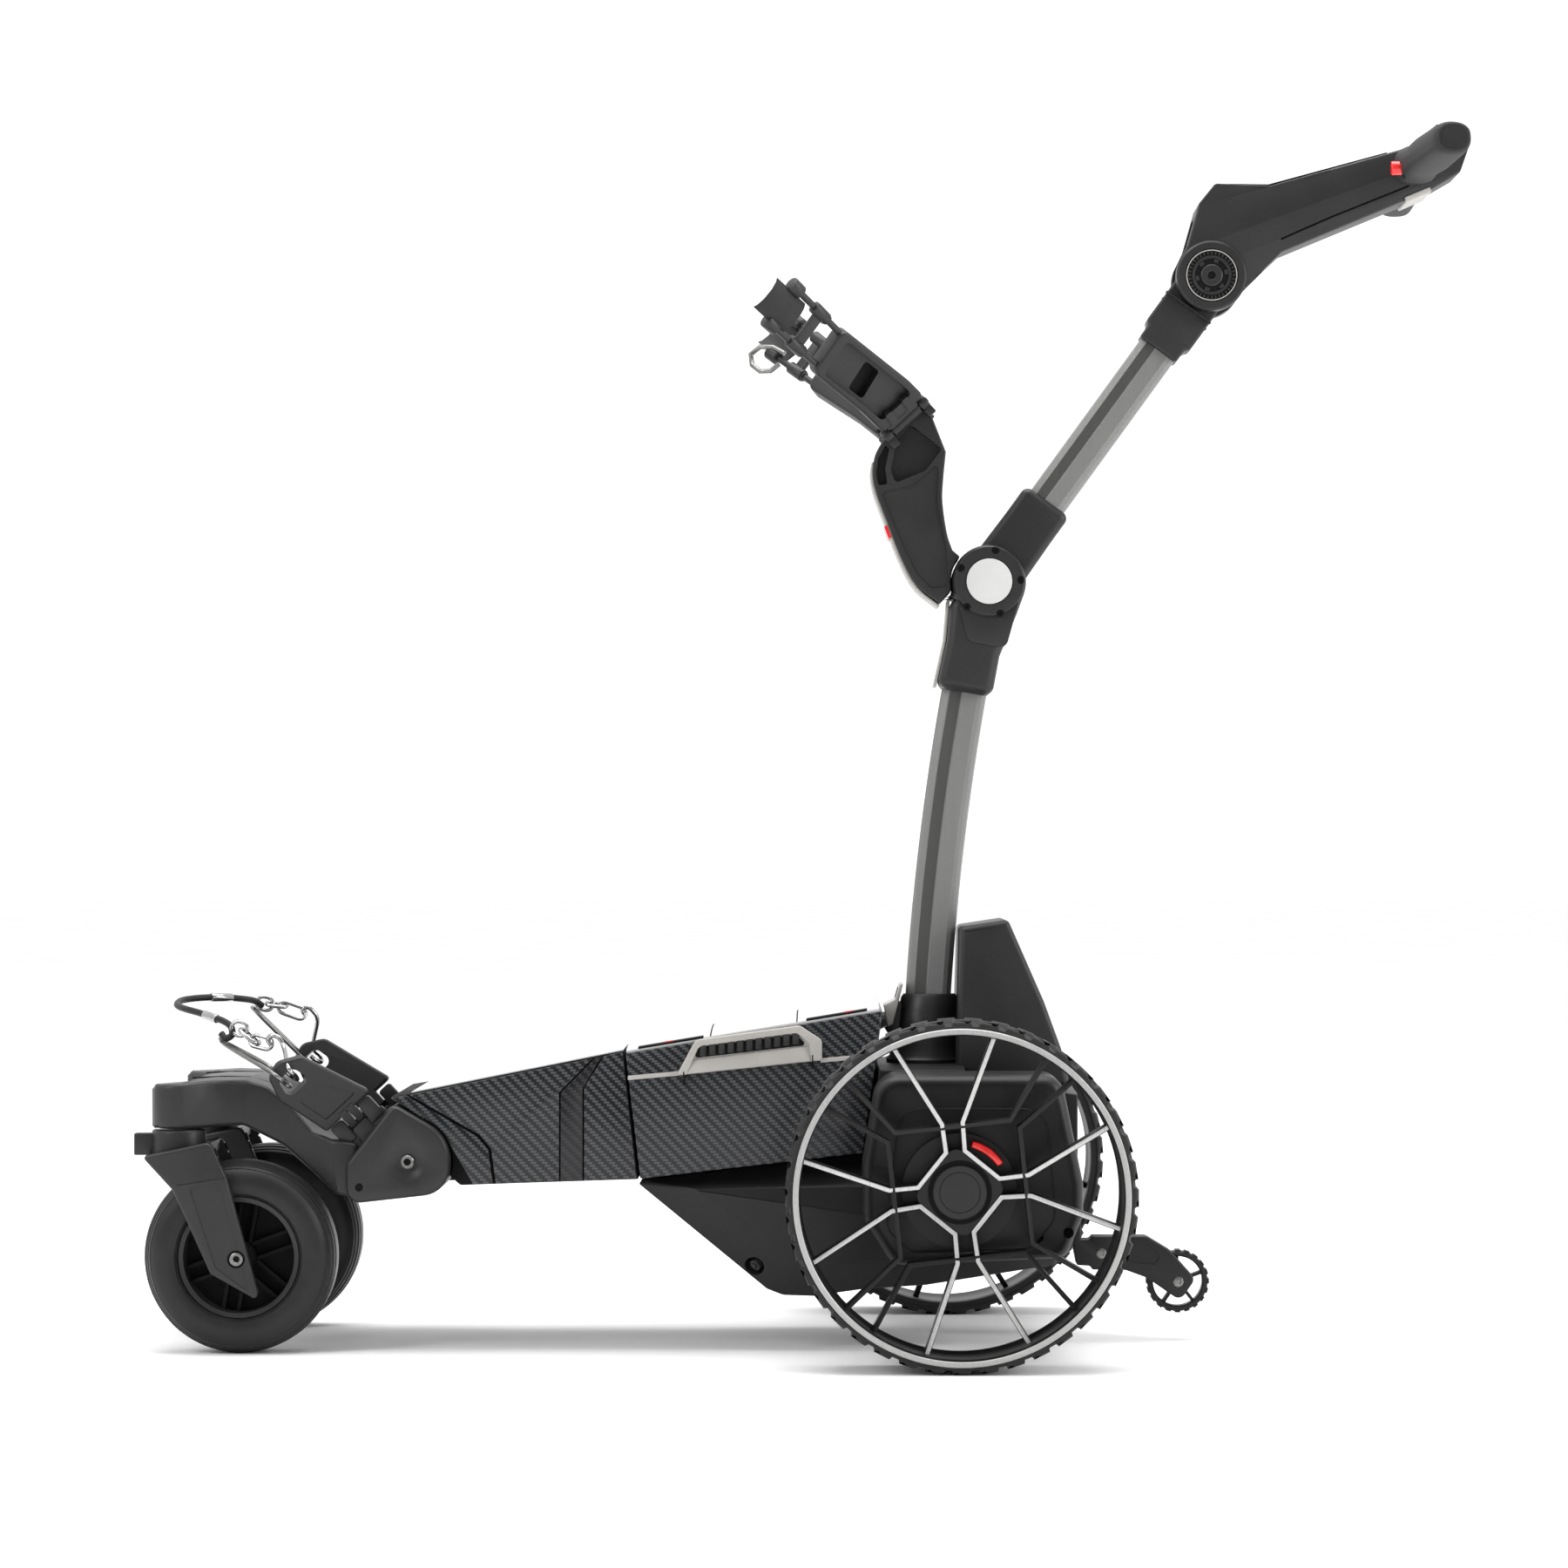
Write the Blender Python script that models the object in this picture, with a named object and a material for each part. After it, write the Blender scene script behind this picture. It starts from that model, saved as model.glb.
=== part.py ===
"""Electric golf trolley: a four-wheeled, battery-driven bag carrier with a folding front arm,
swivelling front casters, a folding mast and a tilting handle.

The trolley drives towards -X, its left side is at -Y and +Z is up. Shapes are drawn in
millimetres in a design frame whose x = 0 is the rear axle and whose z = 0 is the ground.
"""

import math

import bmesh
import bpy
from mathutils import Matrix, Vector

MM = 0.001
GAP = 0.3
SIDES = (("left", -1), ("right", 1))

# Wheels
REAR_RADIUS = 145.0
REAR_OUTER_FACE = 292.5
REAR_WIDTH = 84.0
WHEEL_STEPS = 48
RIM_RADIUS = 138.4
RIM_WALL = 4.7
HUB_FACE = 227.5
SPOKE_TURN = 6.35
CASTER_RADIUS = 82.4
CASTER_X = -665.0
CASTER_Y = 110.0
CASTER_TRAIL = 54.0
CASTER_TYRE_HALF = 29.0
ROLLER_CENTRE = (197.0, 51.4)
ROLLER_RADIUS = 27.5

# Body
BODY_HALF = 115.0
HULL_HALF = 112.0
POD_FACE = 195.0
ARM_PIVOT = (-468.4, 163.0)
ARM_PIVOT_RADIUS = 36.5
DECK_FRONT = (-284.4, 257.6)
DECK_REAR = (-62.0, 294.6)

# Mast and handle
MAST_FOOT = (-23.5, 262.0)
MAST_LENGTH = 342.0
MAST_LEAN = (2.5, 11.0)
MAST_SECTION = (19.8, 17.0, 9.0)
MAST_PIVOT = (31.4, 663.3)
MAST_TILT = 54.0
UPPER_SECTION = (17.8, 15.0, 7.5)
KNOB_DISTANCE = 329.8
GRIP_Z = 1026.0

# Bag cradles: the hinge lines lean back with the bag that they hold
HINGE_LEAN = 43.0
PADDLE_HINGE = (-517.0, 100.0, 201.0)
PADDLE_SPREAD = {-1: 25.0, 1: 6.0}
CRADLE_HINGE = (-42.0, 34.0, 805.0)
CRADLE_SPREAD = 35.0

# The box of the whole trolley runs from x = -703 to x = 451.5 in the design frame.
FRAME_SHIFT = 125.922

MATERIALS = {
    "carbon_shell": ((0.035, 0.038, 0.042), 0.32, 0.0),
    "black_plastic": ((0.028, 0.028, 0.029), 0.55, 0.0),
    "grey_plastic": ((0.045, 0.045, 0.046), 0.5, 0.0),
    "light_grey_plastic": ((0.36, 0.35, 0.33), 0.45, 0.0),
    "deck_plastic": ((0.62, 0.62, 0.61), 0.5, 0.0),
    "mast_paint": ((0.23, 0.23, 0.215), 0.35, 0.6),
    "tyre_rubber": ((0.022, 0.022, 0.022), 0.8, 0.0),
    "grip_rubber": ((0.03, 0.03, 0.03), 0.85, 0.0),
    "steel": ((0.55, 0.55, 0.54), 0.3, 1.0),
    "bright_wire": ((0.75, 0.75, 0.75), 0.15, 1.0),
    "cord_rubber": ((0.015, 0.015, 0.015), 0.6, 0.0),
    "red_plastic": ((0.75, 0.01, 0.01), 0.4, 0.0),
    "motor_metal": ((0.4, 0.4, 0.4), 0.4, 0.8),
    "cell_wrap": ((0.05, 0.12, 0.3), 0.5, 0.0),
}


def clear_scene():
    for old in list(bpy.data.objects):
        bpy.data.objects.remove(old)


def make_materials():
    for name, (color, roughness, metallic) in MATERIALS.items():
        material = bpy.data.materials.new(name)
        material.use_nodes = True
        shader = material.node_tree.nodes["Principled BSDF"]
        shader.inputs["Base Color"].default_value = (*color, 1.0)
        shader.inputs["Roughness"].default_value = roughness
        shader.inputs["Metallic"].default_value = metallic


# ---- Outlines -------------------------------------------------------------------------


def arc(centre, radius, start, end, steps):
    """Points on a circle, from one angle to another in degrees."""
    points = []
    for step in range(steps + 1):
        angle = math.radians(start + (end - start) * step / steps)
        points.append((centre[0] + radius * math.cos(angle), centre[1] + radius * math.sin(angle)))
    return points


def rounded(corners, steps=4):
    """An outline from corners (u, v) or (u, v, radius), the latter as fillets."""
    points = []
    for index, corner in enumerate(corners):
        here = Vector(corner[:2])
        if len(corner) == 2:
            points.append(tuple(here))
            continue
        radius = corner[2]
        back = (Vector(corners[index - 1][:2]) - here).normalized()
        ahead = (Vector(corners[(index + 1) % len(corners)][:2]) - here).normalized()
        half = back.angle(ahead) / 2
        centre = here + (back + ahead).normalized() * (radius / math.sin(half))
        first = here + back * (radius / math.tan(half)) - centre
        turn = math.pi - 2 * half
        if back.x * ahead.y - back.y * ahead.x > 0:
            turn = -turn
        for step in range(steps + 1):
            spoke = Matrix.Rotation(turn * step / steps, 2) @ first
            points.append(tuple(centre + spoke))
    return points


def rectangle(left, bottom, right, top, radius=0.0, steps=3):
    corners = [(left, bottom), (right, bottom), (right, top), (left, top)]
    if radius:
        corners = [(*corner, radius) for corner in corners]
    return rounded(corners, steps)


def around(pivot, angle, points):
    """Local points (along, across) laid from a pivot at an angle above +X."""
    cosine = math.cos(math.radians(angle))
    sine = math.sin(math.radians(angle))
    laid = []
    for point in points:
        x = pivot[0] + point[0] * cosine - point[1] * sine
        z = pivot[1] + point[0] * sine + point[1] * cosine
        laid.append((x, z, *point[2:]))
    return laid


def band(path, width):
    """The outline of a strip of even width along an open path."""
    sides = ([], [])
    for index, point in enumerate(path):
        here = Vector(point)
        before = here - Vector(path[index - 1]) if index else Vector(path[1]) - here
        after = Vector(path[index + 1]) - here if index + 1 < len(path) else before
        before.normalize()
        after.normalize()
        along = (before + after).normalized()
        across = Vector((-along.y, along.x)) * (width / 2 / max(0.3, along.dot(before)))
        sides[0].append(tuple(here + across))
        sides[1].append(tuple(here - across))
    return sides[0] + sides[1][::-1]


# ---- Solids ---------------------------------------------------------------------------


def new_object(name, bm):
    """An object from a bmesh drawn in millimetres in the design frame."""
    bmesh.ops.recalc_face_normals(bm, faces=bm.faces)
    mesh = bpy.data.meshes.new(name)
    bm.to_mesh(mesh)
    bm.free()
    solid = bpy.data.objects.new(name, mesh)
    bpy.context.scene.collection.objects.link(solid)
    return solid


def prism(name, outline, low, high, plane="xz"):
    """An outline in a plane, extruded along the plane's normal from low to high."""
    spread = {
        "xz": lambda u, v, w: (u, w, v),
        "xy": lambda u, v, w: (u, v, w),
        "yz": lambda u, v, w: (w, u, v),
    }[plane]
    bm = bmesh.new()
    face = bm.faces.new([bm.verts.new(spread(u, v, low)) for u, v in outline])
    raised = bmesh.ops.extrude_face_region(bm, geom=[face])
    verts = [item for item in raised["geom"] if isinstance(item, bmesh.types.BMVert)]
    bmesh.ops.translate(bm, verts=verts, vec=spread(0, 0, high - low))
    return new_object(name, bm)


def turned(name, profile, centre, axis="y", steps=48):
    """A profile of (radius, along) spun about an axis; it may start and end on the axis."""
    bm = bmesh.new()
    verts = [bm.verts.new((radius, 0, along)) for radius, along in profile]
    edges = [bm.edges.new(pair) for pair in zip(verts, verts[1:])]
    if profile[0][0] > 0:
        edges.append(bm.edges.new((verts[-1], verts[0])))
    bmesh.ops.spin(
        bm, geom=verts + edges, axis=(0, 0, 1), cent=(0, 0, 0), angle=2 * math.pi, steps=steps,
        use_merge=True,
    )
    bmesh.ops.remove_doubles(bm, verts=bm.verts, dist=1e-3)
    if axis == "y":
        bmesh.ops.rotate(bm, verts=bm.verts, matrix=Matrix.Rotation(-math.pi / 2, 3, "X"))
    bmesh.ops.translate(bm, verts=bm.verts, vec=centre)
    return new_object(name, bm)


def bar(name, start, end, radius, sides=16):
    """A round bar between two points."""
    start, end = Vector(start), Vector(end)
    along = end - start
    bm = bmesh.new()
    bmesh.ops.create_cone(
        bm, cap_ends=True, segments=sides, radius1=radius, radius2=radius, depth=along.length
    )
    turn = along.to_track_quat("Z", "Y").to_matrix()
    bmesh.ops.rotate(bm, verts=bm.verts, matrix=turn)
    bmesh.ops.translate(bm, verts=bm.verts, vec=(start + end) / 2)
    return new_object(name, bm)


def loft(name, rings):
    """A solid through closed rings of equally many points, with flat ends."""
    bm = bmesh.new()
    loops = [[bm.verts.new(point) for point in ring] for ring in rings]
    bm.faces.new(loops[0])
    bm.faces.new(loops[-1])
    for lower, upper in zip(loops, loops[1:]):
        for index in range(len(lower)):
            after = (index + 1) % len(lower)
            bm.faces.new((lower[index], lower[after], upper[after], upper[index]))
    return new_object(name, bm)


def wire(name, points, radius, closed=False, resolution=2):
    """A round cord or wire through points, as a solid."""
    curve = bpy.data.curves.new(name, "CURVE")
    curve.dimensions = "3D"
    curve.bevel_depth = radius
    curve.bevel_resolution = resolution
    curve.use_fill_caps = True
    curve.render_resolution_u = 0
    spline = curve.splines.new("POLY")
    spline.points.add(len(points) - 1)
    for index, point in enumerate(points):
        spline.points[index].co = (*point, 1.0)
    spline.use_cyclic_u = closed
    solid = bpy.data.objects.new(name, curve)
    bpy.context.scene.collection.objects.link(solid)
    return as_mesh(solid)


def as_mesh(solid):
    """The same object with its curve or modifiers turned into a plain mesh."""
    graph = bpy.context.evaluated_depsgraph_get()
    mesh = bpy.data.meshes.new_from_object(solid.evaluated_get(graph))
    name = solid.name
    bpy.data.objects.remove(solid)
    plain = bpy.data.objects.new(name, mesh)
    bpy.context.scene.collection.objects.link(plain)
    return plain


def combine(operation, solid, others):
    for other in others:
        modifier = solid.modifiers.new("combine", "BOOLEAN")
        modifier.operation = operation
        modifier.solver = "EXACT"
        modifier.object = other
        solid = as_mesh(solid)
        bpy.data.objects.remove(other)
    return solid


def cut(solid, *cutters):
    return combine("DIFFERENCE", solid, cutters)


def union(solid, *others):
    return combine("UNION", solid, others)


def common(solid, *others):
    return combine("INTERSECT", solid, others)


def soften(solid, width, segments=1, angle=35):
    """Rounds the solid's sharp edges."""
    modifier = solid.modifiers.new("soften", "BEVEL")
    modifier.width = width
    modifier.segments = segments
    modifier.limit_method = "ANGLE"
    modifier.angle_limit = math.radians(angle)
    return as_mesh(solid)


def reshape(solid, rule):
    """Moves every point of a solid by a rule on its place."""
    for vertex in solid.data.vertices:
        vertex.co = rule(vertex.co)
    return solid


def mirrored(x, y, z, side):
    return (x, side * y, z)


def across(side, near, far):
    """The low and high y of a slab between two distances from the middle plane."""
    return min(side * near, side * far), max(side * near, side * far)


# ---- Bodies ---------------------------------------------------------------------------

PIVOTS = {}


def pivot(name, place, parent=None):
    """An empty on a joint, which carries the pieces that move with it."""
    empty = bpy.data.objects.new(name, None)
    bpy.context.scene.collection.objects.link(empty)
    place = Vector(place)
    if parent is None:
        empty.location = (place + Vector((FRAME_SHIFT, 0, 0))) * MM
    else:
        empty.parent = PIVOTS[parent][0]
        empty.location = (place - PIVOTS[parent][1]) * MM
    PIVOTS[name] = (empty, place)


def place(solid, body, material):
    """Hands a finished solid to its body, in metres about the body's joint."""
    empty, origin = PIVOTS[body]
    mesh = solid.data
    mesh.transform(Matrix.Translation(-origin))
    mesh.transform(Matrix.Scale(MM, 4))
    mesh.materials.clear()
    mesh.materials.append(bpy.data.materials[material])
    mesh.shade_smooth()
    mesh.set_sharp_from_angle(angle=math.radians(35))
    solid.parent = empty
    return solid


def make_pivots():
    knob = around(MAST_PIVOT, MAST_TILT, [(KNOB_DISTANCE, 0)])[0]
    pivot("chassis", (0, 0, 0))
    pivot("battery", (-170, 0, 150), "chassis")
    pivot("battery_latch_body", (-52, 0, 290), "chassis")
    pivot("front_arm", (ARM_PIVOT[0], 0, ARM_PIVOT[1]), "chassis")
    pivot("upper_mast", (MAST_PIVOT[0], 0, MAST_PIVOT[1]), "chassis")
    pivot("handle", (knob[0], 0, knob[1]), "upper_mast")
    pivot("drive_button", (389, -54, GRIP_Z), "handle")
    pivot("anti_tip_roller_body", (ROLLER_CENTRE[0], 0, ROLLER_CENTRE[1]), "chassis")
    for side_name, side in SIDES:
        pivot(f"wheel_{side_name}", (0, side * 250, REAR_RADIUS), "chassis")
        pivot(f"release_{side_name}", (0, side * 218, REAR_RADIUS), f"wheel_{side_name}")
        pivot(f"caster_{side_name}", (CASTER_X, side * CASTER_Y, 180), "front_arm")
        axle = (CASTER_X + CASTER_TRAIL, side * CASTER_Y, CASTER_RADIUS)
        pivot(f"front_wheel_{side_name}", axle, f"caster_{side_name}")
        hinge = mirrored(*PADDLE_HINGE, side)
        pivot(f"paddle_{side_name}", hinge, "front_arm")
        pivot(f"cradle_{side_name}", mirrored(*CRADLE_HINGE, side), "chassis")


# ---- Chassis --------------------------------------------------------------------------


def deck_height(x):
    """Height of the sloping deck line at a place along the trolley."""
    slope = (DECK_REAR[1] - DECK_FRONT[1]) / (DECK_REAR[0] - DECK_FRONT[0])
    return DECK_FRONT[1] + (x - DECK_FRONT[0]) * slope


def make_hull():
    outline = [
        (-340, 142.4), (-272, 142.4), (-162, 52.4), (-148, 47), (-122, 46.2), (-79, 52.2),
        (-25, 55.7), (84, 72.9), (100, 86), (104, 110), (104, 222), (8, 237), (8, 243),
        (-67, 243), (-77.5, 168.2), (-268, 146.4), (-272, 146.4), (-340, 144.4),
    ]
    hull = prism("chassis_hull", outline, -HULL_HALF, HULL_HALF)
    keel = 46.2
    shoulder = 81.0

    def taper(point):
        inward = 20 * max(0.0, (shoulder - point.z) / (shoulder - keel))
        return Vector((point.x, math.copysign(abs(point.y) - inward, point.y), point.z))

    reshape(hull, taper)
    tray = prism("tray", rounded([(-240, 160, 3), (-120, 180, 3), (-120, 66, 12), (-165, 66, 12)]),
                 -80, 80)
    place(cut(hull, tray), "chassis", "black_plastic")


def front_recess(radius):
    """The hollow front end of the shell, which wraps around the folding arm."""
    return arc(ARM_PIVOT, radius, -20, 61.4, 9)


def make_front_shell():
    outline = [(-424, 142.4), (-271.6, 147.6), (-284.2, 257.4), (-466, 220.8), (-484.5, 217.6)]
    outline += front_recess(ARM_PIVOT_RADIUS + 1.3)[::-1]
    shell = prism("front_body_shell", outline, -BODY_HALF, BODY_HALF)
    room = prism("room", [(-418, 148), (-260, 151), (-262, 252), (-414, 222)], -108, 108)
    shell = cut(shell, room)
    tongue = prism("tongue", rounded([(-396, 143.2, 6), (-396, 183, 6), (-492, 187, 22),
                                      (-492, 139, 22)]), -38, 38)
    shell = union(shell, tongue)
    bore = bar("bore", (ARM_PIVOT[0], -60, ARM_PIVOT[1]), (ARM_PIVOT[0], 60, ARM_PIVOT[1]), 5.4)
    place(cut(shell, bore), "chassis", "carbon_shell")
    box = prism("controller_box", rectangle(-390, 160, -300, 200, 5), -55, 55)
    place(box, "chassis", "motor_metal")


def pod_outline(inset):
    return rounded([
        (-80 + inset, 119 + inset * 0.4, 14), (-55 + inset * 0.4, 81 + inset, 14),
        (90 - inset * 0.6, 87 + inset, 12), (104.5 - inset, 122, 12), (104.5 - inset, 150, 20),
        (86 - inset * 0.6, 240.6 - inset, 16), (-68 + inset, 240.6 - inset, 20),
        (-79 + inset, 170 - inset * 0.1), (-80 + inset, 160),
    ])


def make_drive(side_name, side):
    low, high = across(side, HULL_HALF + GAP, POD_FACE)
    pod = soften(prism(f"motor_pod_{side_name}", pod_outline(0), low, high), 5)
    low, high = across(side, HULL_HALF - 5, POD_FACE - 4)
    hollow = prism("hollow", pod_outline(5), low, high)
    bore = bar("bore", (0, side * 150, REAR_RADIUS), (0, side * 210, REAR_RADIUS), 9, 24)
    place(cut(pod, hollow, bore), "chassis", "grey_plastic")

    low, high = across(side, 116, 186)
    profile = [(0, low), (40, low), (44, low + 6), (44, high - 6), (40, high), (0, high)]
    motor = turned(f"drive_motor_{side_name}", profile, (0, 0, REAR_RADIUS), steps=32)
    place(motor, "chassis", "motor_metal")


def make_rear_cowl():
    outline = rounded([(8.6, 362.6, 4), (46.4, 369.2, 4), (77, 298.6), (92, 257.4), (100, 223.4),
                       (8.6, 237.6)])
    cowl = prism("rear_cowl", outline, -76, 76)

    def taper(point):
        inward = 9 * (point.z - 224) / 145
        return Vector((point.x, math.copysign(abs(point.y) - inward, point.y), point.z))

    reshape(cowl, taper)
    hollow = prism("hollow", [(14, 180), (14, 355), (42, 359), (70, 296), (90, 240), (92, 180)],
                   -60, 60)
    place(cut(soften(cowl, 5, 2), hollow), "chassis", "grey_plastic")


def mast_place(distance):
    """The mast's middle line, a gentle arc, and its lean there."""
    steps = 24
    x, z = MAST_FOOT
    for step in range(steps):
        lean = MAST_LEAN[0] + (MAST_LEAN[1] - MAST_LEAN[0]) * distance * (step + 0.5) / (
            steps * MAST_LENGTH)
        x += math.sin(math.radians(lean)) * distance / steps
        z += math.cos(math.radians(lean)) * distance / steps
    lean = MAST_LEAN[0] + (MAST_LEAN[1] - MAST_LEAN[0]) * distance / MAST_LENGTH
    return x, z, math.radians(lean)


def mast_ring(distance, grow):
    half_x, half_y, radius = MAST_SECTION
    x, z, lean = mast_place(distance)
    section = rectangle(-half_x - grow, -half_y - grow, half_x + grow, half_y + grow,
                        radius + grow, 2)
    return [(x + u * math.cos(lean), v, z - u * math.sin(lean)) for u, v in section]


def mast_core(name, start, end, grow):
    steps = 6
    stops = [start + (end - start) * step / steps for step in range(steps + 1)]
    return loft(name, [mast_ring(stop, grow) for stop in stops])


def make_lower_mast():
    tube = mast_core("lower_mast_tube", 0, MAST_LENGTH, 0)
    tube = cut(tube, mast_core("hollow", -10, MAST_LENGTH + 10, -2.6))
    place(tube, "chassis", "mast_paint")

    def ring(height, middle, half_x, half_y):
        points = arc((0, 0), 1, 0, 345, 23)
        return [(middle + half_x * u, half_y * v, height) for u, v in points]

    boot = loft("mast_base_socket", [
        ring(243.4, -25.0, 31.0, 36), ring(258, -24.0, 29.5, 33), ring(272, -22.7, 27.4, 30),
        ring(303, -20.4, 24.0, 24.5),
    ])
    boot = cut(boot, mast_core("socket", -GAP, 60, 0.4))
    place(boot, "chassis", "grey_plastic")


def joint_outline():
    left = [(-2.2, 650)]
    disc = arc(MAST_PIVOT, 32.5, -24, 204, 14)
    return [(-14.5, 571), (34, 562.6)] + disc + left


def make_mast_joint():
    housing = soften(prism("joint_housing", joint_outline(), -33, 33), 2.5)
    slot = prism("slot", rounded([(-60, 618, 8), (90, 618, 8), (90, 720), (-60, 720)]), -21, 21)
    socket = mast_core("socket", 250, MAST_LENGTH + GAP, 0.4)
    bore = bar("bore", (MAST_PIVOT[0], -40, MAST_PIVOT[1]), (MAST_PIVOT[0], 40, MAST_PIVOT[1]), 6.4)
    housing = cut(housing, slot, socket, bore)
    place(housing, "chassis", "grey_plastic")
    tongue = [(6, 640), (14, 612), (44, 606), (58, 648)]
    for side_name, side in SIDES:
        low, high = across(side, 33 + GAP, 38)
        cover = prism(f"joint_cover_{side_name}", arc(MAST_PIVOT, 30, 0, 345, 23), low, high)
        plate = prism("plate", rounded([(*tongue[0], 2), (*tongue[1], 4), (*tongue[2], 4),
                                        (*tongue[3], 2)], 2), low, high - GAP * side)
        cover = union(cover, plate)
        if side < 0:
            pin = bar("pin", (MAST_PIVOT[0], -35, MAST_PIVOT[1]),
                      (MAST_PIVOT[0], 32.6, MAST_PIVOT[1]), 6.0, 24)
            cover = union(cover, pin)
        place(cover, "chassis", "black_plastic")


def make_bag_bracket():
    outer = [(-14.5, 647.6), (-32.2, 662.8), (-44.7, 682.8), (-62.3, 730.6), (-70, 750.8),
             (-70, 768.3), (-58.5, 788.5)]
    inner = [(-23.5, 822), (-5, 778.5), (-7, 740.7), (0.6, 700.4)]
    seat = arc(MAST_PIVOT, 33.2, 131, 196, 6)
    foot = [(-3.1, 650.8), (-4.8, 641.8)]
    bracket = prism("bag_bracket", outer + inner + seat + foot, -30, 30)
    lean = Matrix.Rotation(math.radians(-HINGE_LEAN), 3, "Y")
    cuts = []
    for side_name, side in SIDES:
        hinge = Vector(mirrored(*CRADLE_HINGE, side))
        along = lean @ Vector((1, 0, 0))
        lugs = [
            bar("lug", hinge - along * 25, hinge - along * 17, 6.5, 10),
            bar("lug", hinge + along * 17, hinge + along * 25, 6.5, 10),
        ]
        gate = [
            prism("web", rectangle(-25, -12, -17, 4), *across(side, 20, CRADLE_HINGE[1])),
            prism("web", rectangle(17, -12, 25, 4), *across(side, 20, CRADLE_HINGE[1])),
        ]
        for web in gate:
            web.data.transform(lean.to_4x4())
            web.data.transform(Matrix.Translation((CRADLE_HINGE[0], 0, CRADLE_HINGE[2])))
        bracket = union(bracket, *gate, *lugs)
        room = prism("room", rectangle(-16.4, -30, 16.4, 60), *across(side, 24, 60))
        room.data.transform(lean.to_4x4())
        room.data.transform(Matrix.Translation((CRADLE_HINGE[0], 0, CRADLE_HINGE[2])))
        cuts += [room, bar("bore", hinge - along * 40, hinge + along * 40, 2.9, 8)]
    place(cut(bracket, *cuts), "chassis", "grey_plastic")


def hinge_frame(hinge, side, spread):
    """Turns a leaf drawn flat (x along the hinge, z away from it) to its leaning, spread place."""
    lean = Matrix.Rotation(math.radians(-HINGE_LEAN), 4, "Y")
    open_out = Matrix.Rotation(math.radians(spread * -side), 4, "X")
    return Matrix.Translation(mirrored(*hinge, side)) @ lean @ open_out


def make_cradle_arm(side_name, side):
    body = f"cradle_{side_name}"
    frame = rounded([(-29, 9, 5), (30, 9, 5), (30, 100, 8), (-24, 100, 8)])
    arm = prism(f"cradle_arm_{side_name}", frame, -9, 9)
    dish = prism("dish", rounded([(-21, 18, 4), (23, 18, 4), (23, 92, 5), (-17, 92, 5)]),
                 *across(side, 3, 20))
    window = prism("window", rounded([(-10, 34, 3), (14, 34, 3), (14, 62, 3), (-10, 62, 3)]),
                   -20, 20)
    barrel = bar("barrel", (-15.5, 0, 0), (15.5, 0, 0), 6.0, 12)
    web = prism("web", rectangle(-15.5, 0, 15.5, 12), -4, 4)
    pin = bar("pin", (-26, 0, 0), (26, 0, 0), 2.5, 8)
    arm = union(cut(arm, dish, window), barrel, web, pin)
    rods = [
        bar("rod", (across_hinge, 0, 95), (across_hinge, 0, 176), 3, 8)
        for across_hinge in (-17, 21)
    ]
    sleeves = [
        bar("sleeve", (across_hinge, 0, 132), (across_hinge, 0, 148), 6, 8)
        for across_hinge in (-17, 21)
    ]
    ends = [
        bar("end", (across_hinge, 0, 166), (across_hinge, 0, 180), 7, 8)
        for across_hinge in (-17, 21)
    ]
    tie = prism("tie", rectangle(-17, 135, 21, 145), -2.5, 2.5)
    top = prism("top", rectangle(-17, 169, 21, 177), -3, 3)
    arm = union(arm, *rods, *sleeves, *ends, tie, top)
    arm.data.transform(hinge_frame(CRADLE_HINGE, side, CRADLE_SPREAD))
    place(arm, body, "black_plastic")


def make_anti_tip():
    bracket = prism("anti_tip_bar", [
        (104.6, 122), (112, 122), (112, 87), (121, 87), (121, 91.3), (142.7, 91.3),
        (142.7, 61.3), (121, 61.3), (121, 66), (108, 66), (104.6, 84),
    ], -13, 13)
    place(bracket, "chassis", "grey_plastic")
    arm = prism("anti_tip_arm", rounded([
        (143.2, 90), (158, 91.3, 4), (169.6, 91.3, 8), (190.5, 78.3, 20), (213, 53.7, 6),
        (199, 33.8, 6), (169.6, 54.3, 6), (152, 60.8, 6), (143.2, 62),
    ]), -13, 13)
    slot = prism("slot", arc(ROLLER_CENTRE, ROLLER_RADIUS + 2.5, 0, 345, 23), -8.6, 8.6)
    axle = bar("axle", (ROLLER_CENTRE[0], -13, ROLLER_CENTRE[1]),
               (ROLLER_CENTRE[0], 13, ROLLER_CENTRE[1]), 3.5, 12)
    place(union(cut(arm, slot), axle), "chassis", "grey_plastic")
    profile = [(4.0, -7.6), (ROLLER_RADIUS - 2, -7.6), (ROLLER_RADIUS, -5), (ROLLER_RADIUS, 5),
               (ROLLER_RADIUS - 2, 7.6), (4.0, 7.6)]
    roller = turned("anti_tip_wheel", profile, (ROLLER_CENTRE[0], 0, ROLLER_CENTRE[1]), steps=24)
    place(roller, "anti_tip_roller_body", "tyre_rubber")


# ---- Battery --------------------------------------------------------------------------


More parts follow.
